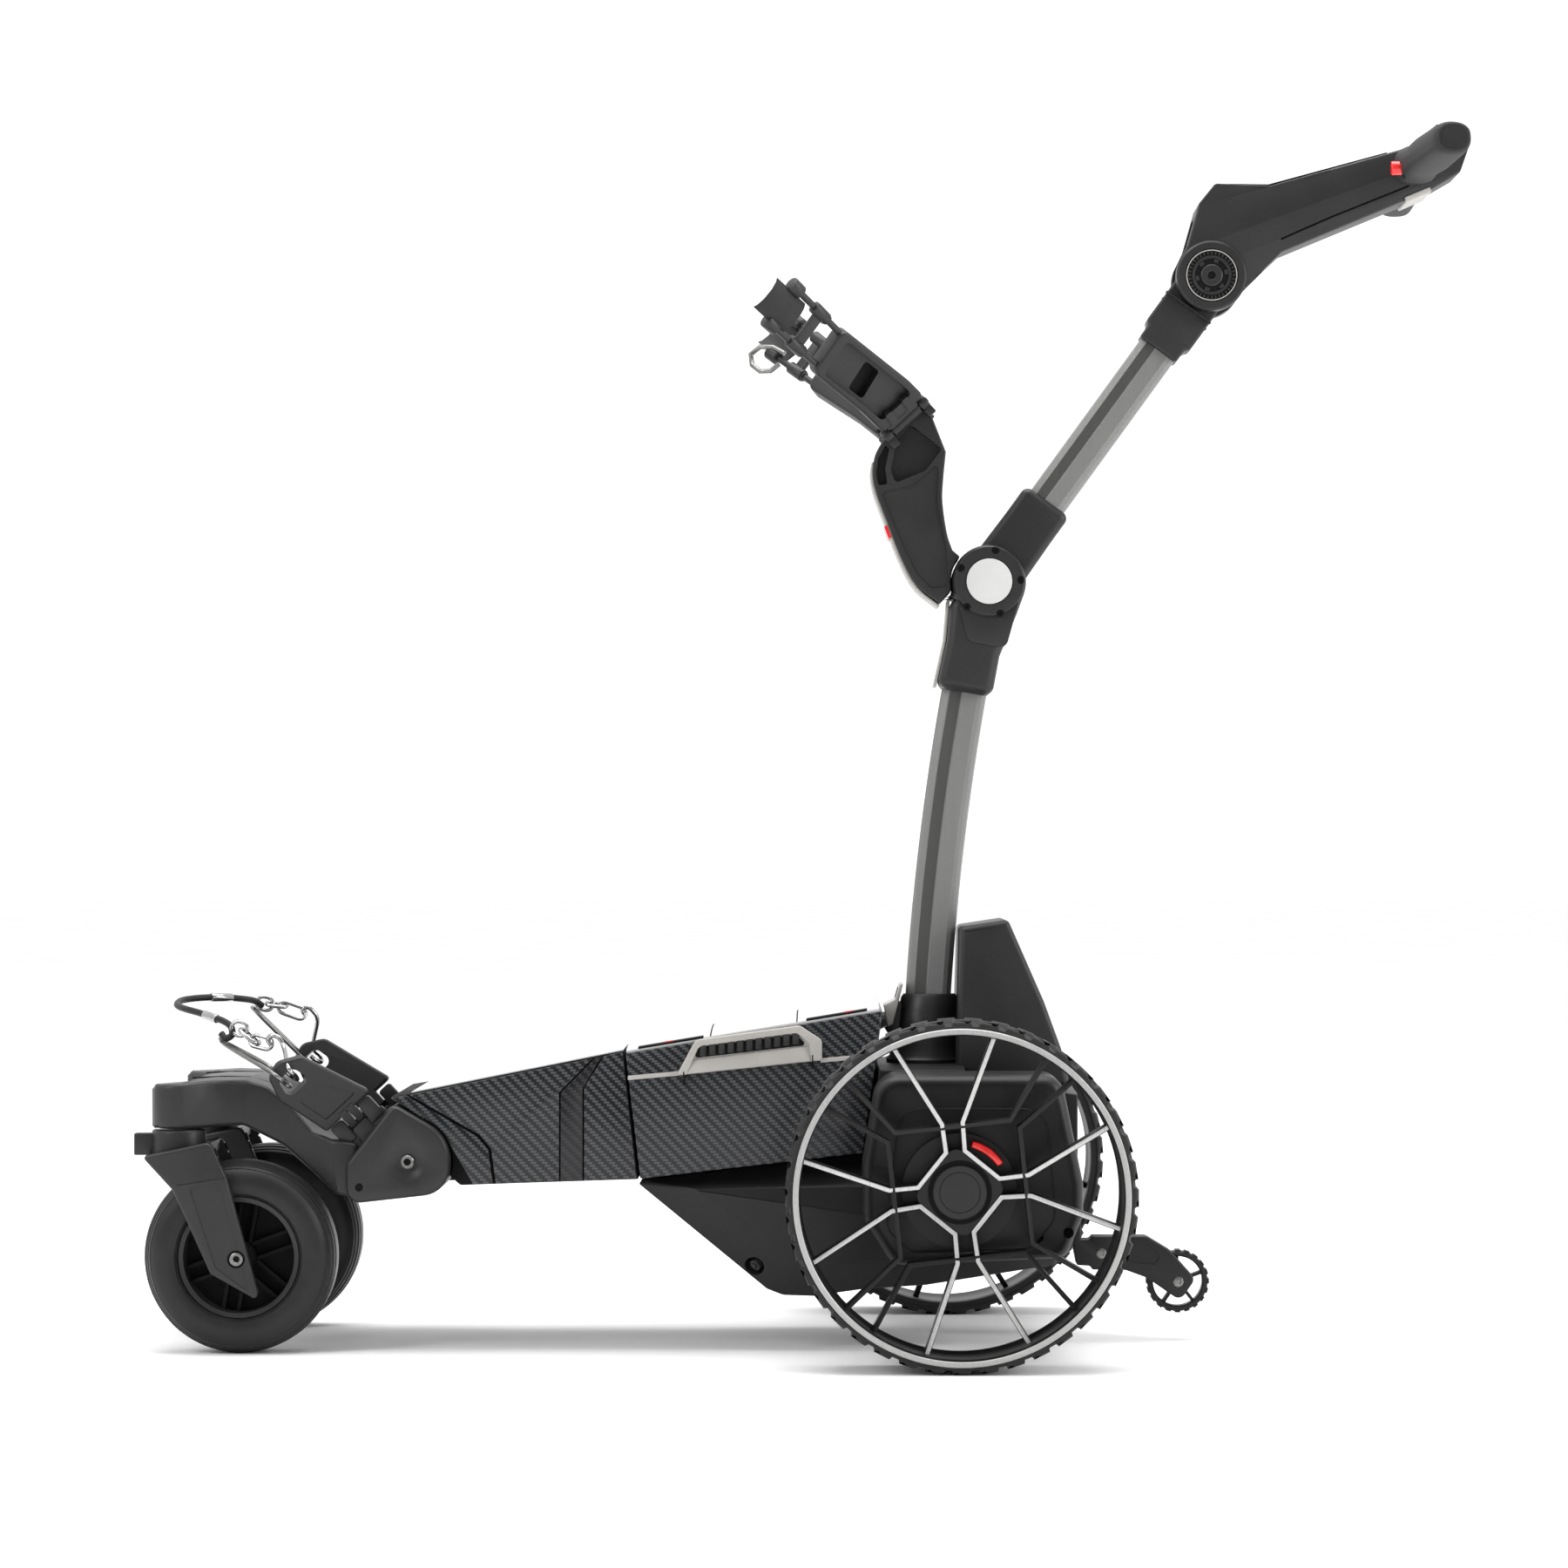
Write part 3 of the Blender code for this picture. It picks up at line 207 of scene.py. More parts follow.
def round_rim(bm, face_y, width, segments):
    """Rounds every edge that lies in the face at one distance across the trolley."""
    rim = [e for e in bm.edges if all(abs(v.co.y - face_y) < 0.1 for v in e.verts)]
    bmesh.ops.bevel(bm, geom=rim, offset=width, offset_type="OFFSET", segments=segments,
                    profile=0.5, affect="EDGES", clamp_overlap=False, material=-1)


def move(bm, matrix, verts=None):
    """Turns or shifts part of a shape, or all of it."""
    bmesh.ops.transform(bm, matrix=matrix, verts=list(verts or bm.verts))


print("planes to draw on:", ", ".join(PLANES))


# %% Carving one shape out of another
def as_object(bm, name):
    mesh = bpy.data.meshes.new(name)
    bmesh.ops.recalc_face_normals(bm, faces=bm.faces)
    bm.to_mesh(mesh)
    bm.free()
    made = bpy.data.objects.new(name, mesh)
    bpy.context.scene.collection.objects.link(made)
    return made


def carve(bm, tool, operation="DIFFERENCE"):
    """The shape with the tool's shape cut out of it, or kept in common."""
    block, cutter = as_object(bm, "block"), as_object(tool, "cutter")
    modifier = block.modifiers.new("carve", "BOOLEAN")
    modifier.operation = operation
    modifier.solver = "EXACT"
    modifier.object = cutter
    graph = bpy.context.evaluated_depsgraph_get()
    result = bmesh.new()
    result.from_mesh(block.evaluated_get(graph).to_mesh())
    for spent in (block, cutter):
        bpy.data.objects.remove(spent)
    bmesh.ops.remove_doubles(result, verts=result.verts, dist=1e-3)
    return result


# %% Handing a finished shape over to the frame
MADE = []


def hand_over(bm, name, material, body, stands_for=(), smooth=32):
    """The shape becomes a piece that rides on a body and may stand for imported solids."""
    bmesh.ops.recalc_face_normals(bm, faces=bm.faces)
    bm.transform(TO_FRAME)
    mesh = bpy.data.meshes.new(name)
    bm.to_mesh(mesh)
    bm.free()
    mesh.materials.append(material)
    mesh.shade_smooth()
    mesh.set_sharp_from_angle(angle=math.radians(smooth))
    piece = bpy.data.objects.new(name, mesh)
    bpy.context.scene.collection.objects.link(piece)
    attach(piece, body)
    if stands_for:
        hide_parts(*stands_for)
    MADE.append(name)
    return piece


# %% [markdown]
# ## Finishes
# Each finish is named for what it really is. Colours are the hex values that a paint chart
# would give. The object's own coordinates are in metres, so a pattern of a given number of
# millimetres has a scale of a thousand divided by that number.


# %% Colour, nodes and a blank finish
def paint(code):
    """An sRGB hex colour as the linear values that a shader wants."""
    channels = [int(code[i:i + 2], 16) / 255 for i in (1, 3, 5)]
    linear = [c / 12.92 if c <= 0.04045 else ((c + 0.055) / 1.055) ** 2.4 for c in channels]
    return (*linear, 1.0)


def add(tree, kind, inputs=None, **fields):
    """One node: fields are its own settings, inputs are values or the sockets to link."""
    made = tree.nodes.new(kind)
    for field, value in fields.items():
        setattr(made, field, value)
    for name, value in (inputs or {}).items():
        if isinstance(value, bpy.types.NodeSocket):
            tree.links.new(value, made.inputs[name])
        else:
            made.inputs[name].default_value = value
    return made


def blank(name, **settings):
    """A material with only its shader, and the sockets that are the same all over."""
    material = bpy.data.materials.new(name)
    material.use_nodes = True
    tree = material.node_tree
    shader = tree.nodes["Principled BSDF"]
    for socket, value in settings.items():
        shader.inputs[socket.replace("_", " ")].default_value = value
    place = add(tree, "ShaderNodeTexCoord").outputs["Object"]
    return material, tree, shader, place


def two_tone(tree, shader, factor, dark, light, spread=(0.35, 0.65)):
    """Colours the surface between two close shades by a pattern."""
    ramp = add(tree, "ShaderNodeValToRGB", {"Fac": factor})
    ramp.color_ramp.elements[0].position = spread[0]
    ramp.color_ramp.elements[1].position = spread[1]
    ramp.color_ramp.elements[0].color = paint(dark)
    ramp.color_ramp.elements[1].color = paint(light)
    tree.links.new(ramp.outputs["Color"], shader.inputs["Base Color"])


def rough_between(tree, shader, factor, smoothest, roughest):
    """Lets the gloss vary over the surface between two roughness values."""
    spread = add(tree, "ShaderNodeMapRange",
                 {"Value": factor, "To Min": smoothest, "To Max": roughest})
    tree.links.new(spread.outputs["Result"], shader.inputs["Roughness"])


def relief(tree, shader, height, strength, depth_mm):
    """Raises the surface by a pattern."""
    bump = add(tree, "ShaderNodeBump",
               {"Height": height, "Strength": strength, "Distance": depth_mm / 1000})
    tree.links.new(bump.outputs["Normal"], shader.inputs["Normal"])


print("white is", paint("#ffffff")[:3])


# %% [markdown]
# Moulded housings are glass-filled nylon or ABS from a spark-eroded tool: a matt dark skin
# with a grain of just under a millimetre, and a little more gloss where hands have rubbed.

# %% Moulded plastics
def moulded(name, dark, light, smoothest, roughest, grain_mm=0.9, depth_mm=0.05, sheen=0.32):
    material, tree, shader, place = blank(name, IOR=1.5, Specular_IOR_Level=sheen)
    grain = add(tree, "ShaderNodeTexNoise", {"Vector": place, "Scale": 1000 / grain_mm,
                                             "Detail": 3.0, "Roughness": 0.6})
    cloud = add(tree, "ShaderNodeTexNoise", {"Vector": place, "Scale": 1000 / 60.0,
                                             "Detail": 2.0})
    both = add(tree, "ShaderNodeMath", {0: grain.outputs["Fac"], 1: cloud.outputs["Fac"]},
               operation="MULTIPLY")
    doubled = add(tree, "ShaderNodeMath", {0: both.outputs[0], 1: 2.0}, operation="MULTIPLY")
    two_tone(tree, shader, doubled.outputs[0], dark, light, (0.3, 0.75))
    rough_between(tree, shader, cloud.outputs["Fac"], smoothest, roughest)
    relief(tree, shader, grain.outputs["Fac"], 0.35, depth_mm)
    return material


HOUSING = moulded("moulded_nylon_dark_grey", "#1d1d1d", "#262626", 0.36, 0.5)
HULL_SKIN = moulded("moulded_nylon_black", "#141414", "#1b1b1b", 0.38, 0.54)
# Near-black: the colour of parts that really are black, and painted shade in holes, slots,
# pockets, creases and gaps where little light reaches.
BLACK_AND_RECESS_SHADE = moulded("matt_black_and_painted_recess_shade", "#060606", "#0b0b0b", 0.6, 0.75, sheen=0.15)
FORK_SKIN = moulded("moulded_nylon_charcoal", "#222222", "#2b2b2b", 0.32, 0.46)
SILVER_TRIM = moulded("satin_silver_abs", "#9c9995", "#aba8a4", 0.3, 0.42, 0.7, 0.02, 0.5)
# Pale satin: the battery lid and the joint badge are drawn in it, and on the nose top it is a
# painted reflection.
PALE_SATIN_AND_REFLECTION = moulded("pale_satin_abs_and_painted_reflection", "#b9b9b8", "#c3c3c2", 0.3, 0.42, 0.8, 0.02, 0.5)
print("moulded finishes:", HOUSING.name, HULL_SKIN.name, SILVER_TRIM.name)


# %% [markdown]
# The body is wrapped in a two-by-two carbon twill under satin lacquer. Each tow passes over
# two and under two, which draws diagonal steps. The real tows are about 2 mm wide; they are
# drawn at 2.4 mm so that the steps still read at arm's length.

# %% Carbon twill
def carbon_twill(name, dark, light, tow_mm=2.4):
    material, tree, shader, place = blank(name, IOR=1.5, Specular_IOR_Level=0.3,
                                           Coat_Weight=0.12, Coat_Roughness=0.15)
    split = add(tree, "ShaderNodeSeparateXYZ", {"Vector": place})
    height = add(tree, "ShaderNodeMath", {0: split.outputs["Z"], 1: split.outputs["Y"]},
                 operation="ADD")
    steps, ramps = [], []
    for source in (split.outputs["X"], height.outputs[0]):
        scaled = add(tree, "ShaderNodeMath", {0: source, 1: 1000 / tow_mm},
                     operation="MULTIPLY")
        steps.append(add(tree, "ShaderNodeMath", {0: scaled.outputs[0]}, operation="FLOOR"))
        ramps.append(add(tree, "ShaderNodeMath", {0: scaled.outputs[0]},
                         operation="FRACT"))
    total = add(tree, "ShaderNodeMath", {0: steps[0].outputs[0], 1: steps[1].outputs[0]},
                operation="ADD")
    cycle = add(tree, "ShaderNodeMath", {0: total.outputs[0], 1: 4.0}, operation="FLOORED_MODULO")
    over = add(tree, "ShaderNodeMath", {0: cycle.outputs[0], 1: 1.5}, operation="LESS_THAN")
    crown = []
    for ramp in ramps:
        centred = add(tree, "ShaderNodeMath", {0: ramp.outputs[0], 1: 0.5},
                      operation="SUBTRACT")
        square = add(tree, "ShaderNodeMath", {0: centred.outputs[0], 1: centred.outputs[0]},
                     operation="MULTIPLY")
        crown.append(add(tree, "ShaderNodeMath", {0: square.outputs[0], 1: -3.0, 2: 1.0},
                         operation="MULTIPLY_ADD"))
    tow = add(tree, "ShaderNodeMix", {"Factor": over.outputs[0], "A": crown[0].outputs[0],
                                      "B": crown[1].outputs[0]})
    shade = add(tree, "ShaderNodeMath", {0: over.outputs[0], 1: 0.62, 2: 0.12},
                operation="MULTIPLY_ADD")
    depth = add(tree, "ShaderNodeMath", {0: shade.outputs[0], 1: tow.outputs["Result"]},
                operation="MULTIPLY")
    two_tone(tree, shader, depth.outputs[0], dark, light, (0.12, 0.7))
    rough_between(tree, shader, over.outputs[0], 0.3, 0.42)
    relief(tree, shader, tow.outputs["Result"], 0.3, 0.12)
    return material


CARBON = carbon_twill("carbon_twill_satin_lacquer", "#0c0d0e", "#46484c")
# A darker copy of the twill, used as painted shade on the nose's chamfer band.
CARBON_PAINTED_SHADE = carbon_twill("carbon_twill_painted_shade", "#070808", "#2a2b2e")
print("twill repeats every", 4 * 2.4, "mm")


# %% [markdown]
# Tyres, grips and the cord are rubber: nearly black, never shiny, with a faint dry bloom.

# %% Rubbers
def rubber(name, dark, light, roughest, grain_mm, depth_mm):
    material, tree, shader, place = blank(name, IOR=1.52, Specular_IOR_Level=0.25)
    bloom = add(tree, "ShaderNodeTexNoise", {"Vector": place, "Scale": 1000 / 25.0,
                                             "Detail": 5.0, "Roughness": 0.65})
    grain = add(tree, "ShaderNodeTexNoise", {"Vector": place, "Scale": 1000 / grain_mm,
                                             "Detail": 2.0})
    two_tone(tree, shader, bloom.outputs["Fac"], dark, light, (0.3, 0.7))
    rough_between(tree, shader, bloom.outputs["Fac"], roughest - 0.15, roughest)
    relief(tree, shader, grain.outputs["Fac"], 0.4, depth_mm)
    return material


TREAD = rubber("vulcanised_tyre_rubber", "#1b1b1b", "#262626", 0.68, 1.1, 0.08)
CASTER_TREAD = rubber("solid_pu_tyre", "#191919", "#222222", 0.5, 1.4, 0.04)
GRIP = rubber("soft_grip_rubber", "#242424", "#2e2e2e", 0.72, 0.8, 0.08)
CORD = rubber("elastic_cord_sheath", "#141414", "#1f1f1f", 0.6, 0.7, 0.1)
print("rubbers:", TREAD.name, CASTER_TREAD.name, GRIP.name, CORD.name)


# %% [markdown]
# The mast is an aluminium extrusion with a silver-grey powder coat. Faint lines from the die
# run along the tube; here they are stretched along the bench's height.

# %% Powder-coated aluminium, bright trim, steel and chrome
def coated_metal(name, dark, light, roughness, line_mm, metallic):
    material, tree, shader, place = blank(name, Metallic=metallic)
    stretch = add(tree, "ShaderNodeMapping", {"Vector": place, "Scale": (1.0, 1.0, 0.02)})
    lines = add(tree, "ShaderNodeTexNoise", {"Vector": stretch.outputs["Vector"],
                                             "Scale": 1000 / line_mm, "Detail": 2.0})
    fleck = add(tree, "ShaderNodeTexNoise", {"Vector": place, "Scale": 1000 / 2.0,
                                             "Detail": 1.0})
    mixed = add(tree, "ShaderNodeMath", {0: lines.outputs["Fac"], 1: fleck.outputs["Fac"]},
                operation="ADD")
    halved = add(tree, "ShaderNodeMath", {0: mixed.outputs[0], 1: 0.5}, operation="MULTIPLY")
    two_tone(tree, shader, halved.outputs[0], dark, light, (0.35, 0.65))
    rough_between(tree, shader, lines.outputs["Fac"], roughness - 0.02, roughness + 0.02)
    relief(tree, shader, fleck.outputs["Fac"], 0.03, 0.002)
    return material


MAST_COAT = coated_metal("silver_grey_powder_coat", "#747473", "#787877", 0.36, 3.0, 0.3)
# A darker grey coat: painted shade on the tubes' leaning facets, and also used for the dark die
# lines on the lower tube's nose.
FACET_SHADE_AND_LINE_COAT = coated_metal("dark_grey_coat_facet_shade_and_die_lines", "#424241", "#464645", 0.38, 3.0, 0.25)
RIM_SILVER = coated_metal("silver_rim_lacquer", "#9b9b9a", "#a6a6a5", 0.3, 1.2, 0.3)
SPOKE_SILVER = coated_metal("bright_spoke_edge", "#c6c6c5", "#d2d2d1", 0.28, 1.2, 0.2)
STEEL = coated_metal("zinc_plated_steel", "#6f6f6e", "#828281", 0.3, 0.5, 1.0)
CHROME = coated_metal("polished_stainless_wire", "#9a9a9a", "#adadad", 0.16, 0.6, 1.0)


def gloss_red(name):
    material, tree, shader, place = blank(name, IOR=1.5, Coat_Weight=0.4)
    haze = add(tree, "ShaderNodeTexNoise", {"Vector": place, "Scale": 1000 / 3.0})
    two_tone(tree, shader, haze.outputs["Fac"], "#d80c0c", "#ef1a14")
    rough_between(tree, shader, haze.outputs["Fac"], 0.25, 0.35)
    return material


RED = gloss_red("gloss_red_abs")
print("metals:", MAST_COAT.name, STEEL.name, CHROME.name, "and", RED.name)

# %% [markdown]
# ## Camera, light and floor
# The trolley is seen from its left side by a long lens at table height. A studio with a
# white end wall and a dimmer room behind the camera gives soft light from all round. One
# large lamp hangs overhead, so that the upward faces are brightest and a soft shadow falls
# under the body, and a narrow lamp on either side draws highlights along the edges.

# %% Camera
scene = bpy.context.scene
lens = bpy.data.cameras.new("side_camera")
lens.sensor_width = 36.0
lens.lens = 109.12
lens.clip_end = 100.0
camera = bpy.data.objects.new("side_camera", lens)
camera.location = TO_FRAME @ Vector((-113.5, -4178.5, 437.2))
camera.rotation_euler = (math.radians(90.6826), 0, math.radians(0.4726))
scene.collection.objects.link(camera)
scene.camera = camera
print("camera stands", round(-camera.location.y, 3), "m from the middle")


# %% Studio light and floor
def lamp(name, power, size, place, target):
    light = bpy.data.lights.new(name, "AREA")
    light.energy = power
    light.shape = "RECTANGLE"
    light.size, light.size_y = size
    made = bpy.data.objects.new(name, light)
    made.location = place
    made.rotation_euler = (Vector(target) - Vector(place)).to_track_quat("-Z", "Y").to_euler()
    scene.collection.objects.link(made)


world = bpy.data.worlds.new("white_studio")
scene.world = world
world.use_nodes = True
tree = world.node_tree
way = add(tree, "ShaderNodeSeparateXYZ",
          {"Vector": add(tree, "ShaderNodeTexCoord").outputs["Generated"]})
depth = add(tree, "ShaderNodeMapRange", {"Value": way.outputs["Y"], "From Min": -0.75,
                                         "From Max": -0.05, "To Min": 0.45, "To Max": 1.22})
tree.links.new(depth.outputs["Result"], tree.nodes["Background"].inputs["Strength"])
tree.nodes["Background"].inputs["Color"].default_value = (1.0, 1.0, 1.0, 1.0)
lamp("overhead", 80.0, (2.6, 2.0), (0.0, 0.1, 3.0), (0, 0, 0.3))
lamp("front_left", 30.0, (0.9, 1.4), (-2.2, -1.8, 2.0), (0, 0, 0.4))
lamp("front_right", 40.0, (0.7, 1.6), (2.6, -1.2, 1.2), (0, 0, 0.4))
scene.view_settings.view_transform = "Standard"

floor_mesh = bpy.data.meshes.new("studio_floor")
bm = bmesh.new()
bmesh.ops.create_grid(bm, x_segments=2, y_segments=2, size=30.0)
bm.to_mesh(floor_mesh)
bm.free()
floor = bpy.data.objects.new("studio_floor", floor_mesh)
scene.collection.objects.link(floor)
floor_paint, tree, shader, place = blank("matt_white_floor", Roughness=0.9)
mottle = add(tree, "ShaderNodeTexNoise", {"Vector": place, "Scale": 3.0})
two_tone(tree, shader, mottle.outputs["Fac"], "#fafafa", "#fcfcfc")
floor_mesh.materials.append(floor_paint)
floor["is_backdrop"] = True

# %% [markdown]
# ## Body: hull, nose, battery and deck
# The hull is a black keel with broad chamfers. Its side face is smaller than its silhouette,
# so the two are joined by one extruded step whose corners are moved in.

# %% Hull
KEEL = [(-272, 142.4), (-162, 52.4), (-148, 47), (-122, 46.2), (-79, 52.2), (-25, 55.7),
        (84, 72.9), (100, 86), (104, 110), (104, 222), (8, 237), (8, 243), (-67, 243),
        (-77.5, 168.2), (-268, 146.2)]
KEEL_FACE = [(-222, 138.3), (-142, 77), (-134, 74.5), (-118, 74), (-77, 77), (-25, 80),
             (84, 93), (99, 101), (104, 113), (104, 220), (8, 235), (8, 241), (-66, 241),
             (-76, 141.5), (-221, 138.9)]
bm = bmesh.new()
slab(bm, KEEL, -93, 93)
for side in (-1, 1):
    cap = [f for f in bm.faces if abs(f.calc_center_median().y - side * 93) < 0.1][0]
    grown = bmesh.ops.extrude_face_region(bm, geom=[cap])["geom"]
    bm.faces.remove(cap)
    for corner in [item for item in grown if isinstance(item, bmesh.types.BMVert)]:
        nearest = min(range(len(KEEL)),
                      key=lambda i: (Vector(KEEL[i]) - corner.co.xz).length)
        u, w = KEEL_FACE[nearest]
        corner.co = (u, side * 112, w)
soften(bm, 1.2, 2, 18)
for side in (-1, 1):
    tool = bmesh.new()
    seat = Vector((-173, side * 99, 72))
    way = Vector((-0.55, side * 0.62, -0.56)).normalized()
    rod(tool, seat - way * 12, seat + way * 20, 8.5, 32)
    bm = carve(bm, tool)
hand_over(bm, "keel_hull", HULL_SKIN, "chassis", ["chassis_hull"], 14)
for side_name, side in SIDES:
    bm = bmesh.new()
    seat = Vector((-173, side * 99, 72))
    way = Vector((-0.55, side * 0.62, -0.56)).normalized()
    rod(bm, seat - way * 10, seat - way * 1, 5.2, 20)
    rod(bm, seat - way * 1.2, seat + way * 0.6, 3.0, 6)
    soften(bm, 0.5, 2)
    hand_over(bm, f"keel_screw_{side_name}", FORK_SKIN, "chassis", ())
print("keel is", 104 + 272, "mm long")

# %% [markdown]
# The nose is a moulded tray, and the woven skins lie on its flanks with real gaps between
# them. A chamfered band near the back of the nose stands in shadow, and that shade is painted
# on with a darker twill.

# %% Nose tray and its woven skins
ARM = (-468.4, 163.0)
NOSE = [(-424, 142.4), (-271.6, 147.6), (-284.2, 257.4), (-466, 220.8), (-484.5, 217.6)]
NOSE_BITE = arc(ARM, 37.8, -20, 61.4, 14)
bm = bmesh.new()
slab(bm, NOSE + NOSE_BITE[::-1], -110.6, 110.6)
soften(bm, 1.2, 2, 30)
slab(bm, rounded([(-396, 143.2, 6), (-396, 183, 6), (-492, 187, 22), (-492, 139, 22)]), -38, 38)
hand_over(bm, "nose_tray", BLACK_AND_RECESS_SHADE, "chassis", ["front_body_shell", "controller_box"])


def shell_top(x):
    """Height of the body's sloping upper line."""
    return 257.4 + (x + 284.2) * (257.4 - 220.8) / (466 - 284.2)


SKINS = {
    "tip": [(-483.5, 216.9), (-470.5, 219.2), (-409.0, 184.2), (-399.8, 172.8), (-395.8, 143.9),
            (-412.9, 143.6)] + arc(ARM, 37.8, 30, 61.4, 8),
    "middle": [(-467.3, 219.6), (-407.2, 185.6), (-397.6, 173.8), (-393.4, 144.0),
               (-339.2, 145.8), (-339.2, 222), (-311.0, shell_top(-311) - 1.2)],
    "rear": [(-318, 146.8), (-318, 226), (-301, shell_top(-301) - 1.0),
             (-285.2, 256.4), (-272.9, 148.4)],
}
SKIN_BACK, SKIN_FACE = 109.8, 115  # mm out from the middle of the trolley
for side_name, side in SIDES:
    for skin, outline in SKINS.items():
        bm = bmesh.new()
        for corner in slab(bm, outline, side * SKIN_BACK, side * SKIN_FACE):
            lift = max(0.0, corner.co.z - (shell_top(corner.co.x) - 16))
            if corner.co.x > -340:
                corner.co.y -= side * 0.22 * lift
        soften(bm, 0.8, 2, 30)
        hand_over(bm, f"nose_skin_{skin}_{side_name}", CARBON, "chassis", ())
    # Painted shade: the chamfer band is drawn in the darker twill to stand for the shadow on it.
    bm = bmesh.new()
    slab(bm, [(-338.2, 146), (-319.2, 146.6), (-319.2, 225.4), (-303.4, shell_top(-303) - 1.6),
              (-308.6, shell_top(-309) - 1.4), (-338.2, 221.4)], side * SKIN_BACK, side * 113.6)
    soften(bm, 0.5, 2, 30)
    hand_over(bm, f"nose_shadow_band_{side_name}", CARBON_PAINTED_SHADE, "chassis", ())

# Painted reflection: a thin pale strip along the nose's top edge stands for the bright grazing
# reflection on its glossy top.
bm = bmesh.new()
top = [(-466, 220.8), (-284.6, 257.3)]
slab(bm, [(top[0][0], top[0][1] + 0.2), (top[1][0], top[1][1] + 0.2),
          (top[1][0] - 0.2, top[1][1] + 1.4), (top[0][0] - 0.2, top[0][1] + 1.4)], -109, 109)
soften(bm, 0.4, 2, 30)
hand_over(bm, "nose_top_painted_reflection", PALE_SATIN_AND_REFLECTION, "chassis", ())
print("nose skins:", ", ".join(SKINS))

# %% [markdown]
# The battery fills the middle of the body. Its flanks carry the same twill; the upper few
# centimetres lean in to the deck, parted from the flank by a silver line that runs through
# the frame of the lifting grip.

# %% Battery case
DECK_RISE = (294.6 - 257.6) / (284.4 - 62.0)


def deck_line(x):
    """Height of the deck along the body."""
    return 257.6 + (x + 284.4) * DECK_RISE


def silver_line(x):
    """Height of the silver line on the battery's flank."""
    return 234.4 + (x + 280) * (252.4 - 234.4) / 198


case = [(-270.0, 148.2), (-79.2, 170.2), (-62.6, 291.8), (-282.8, 255.4)]
bm = bmesh.new()
slab(bm, case, -115, 115)
bmesh.ops.bisect_plane(bm, geom=bm.verts[:] + bm.edges[:] + bm.faces[:],
                       plane_co=(-280, 0, silver_line(-280)),
                       plane_no=(-(252.4 - 234.4) / 198, 0, 1))
for corner in bm.verts:
    lift = corner.co.z - silver_line(corner.co.x)
    if lift > 1:
        corner.co.y -= math.copysign(4.2, corner.co.y)
soften(bm, 1.6, 3, 12, lambda edge: abs(edge.verts[0].co.y) > 100 and abs(
    edge.verts[1].co.y) > 100)
hand_over(bm, "battery_flanks", CARBON, "battery", ["battery_case", "battery_cells"])



def crown(bm):
    """Bends a lid piece up by 5 mm in the middle of its width."""
    for corner in bm.verts:
        corner.co.z += 5.0 * (1 - min(1.0, abs(corner.co.y) / 107.5) ** 2)


bm = bmesh.new()
slab(bm, [(-281.6, deck_line(-281.6) - 8), (-66.2, deck_line(-66.2) - 8),
          (-65.2, deck_line(-65.2) + 0.2), (-282.6, deck_line(-282.6) + 0.2)], -107.5, 107.5)
soften(bm, 1.6, 3, 30)
for y in range(-100, 101, 10):
    bmesh.ops.bisect_plane(bm, geom=bm.verts[:] + bm.edges[:] + bm.faces[:],
                           plane_co=(0, y, 0), plane_no=(0, 1, 0))
crown(bm)
hand_over(bm, "battery_lid", PALE_SATIN_AND_REFLECTION, "battery", ["battery_deck"])
for side_name, side in SIDES:
    for name, x0, x1 in (("ahead", -272, -216), ("behind", -128, -76)):
        bm = bmesh.new()
        slab(bm, [(x0, deck_line(x0) - 1), (x1, deck_line(x1) - 1),
                  (x1, deck_line(x1) + 0.7), (x0, deck_line(x0) + 0.7)],
             side * 99.5, side * 107.8)
        soften(bm, 0.4, 2, 30)
        crown(bm)
        hand_over(bm, f"lid_inlay_{name}_{side_name}", BLACK_AND_RECESS_SHADE, "battery", ())
    for name, x in (("ahead", -246), ("behind", -92)):
        bm = bmesh.new()
        slab(bm, rounded([(x - 4, side * 104 - 1.8, 1), (x + 4, side * 104 - 1.8, 1),
                          (x + 4, side * 104 + 1.8, 1), (x - 4, side * 104 + 1.8, 1)]),
             0, 1.4, "xy")
        for corner in bm.verts:
            corner.co.z += deck_line(corner.co.x)
        crown(bm)
        hand_over(bm, f"lid_marker_{name}_{side_name}", RED, "battery", ())
    bm = bmesh.new()
    for x0, x1 in ((-280.5, -236), (-116, -80)):
        slab(bm, [(x0, silver_line(x0) - 1.9), (x1, silver_line(x1) - 1.9),
                  (x1, silver_line(x1) + 1.9), (x0, silver_line(x0) + 1.9)],
             side * 113, side * 116.0)
    soften(bm, 0.6, 2, 30)
    hand_over(bm, f"battery_silver_line_{side_name}", SILVER_TRIM, "battery", ())
bm = bmesh.new()
for x in (-210, -136):
    slab(bm, [(x - 0.6, deck_line(x) - 1), (x + 0.6, deck_line(x) - 1),
              (x + 0.6, deck_line(x) + 0.35), (x - 0.6, deck_line(x) + 0.35)], -107, 107)
for y in range(-100, 101, 10):
    bmesh.ops.bisect_plane(bm, geom=bm.verts[:] + bm.edges[:] + bm.faces[:],
                           plane_co=(0, y, 0), plane_no=(0, 1, 0))
crown(bm)
hand_over(bm, "lid_seams", BLACK_AND_RECESS_SHADE, "battery", ())
print("battery flank rises to", round(deck_line(-62), 1), "mm")

# %% [markdown]
# The lifting grip is a bar of upright ribs in a silver frame, with a sloping sill below it
# that guides the fingers in.

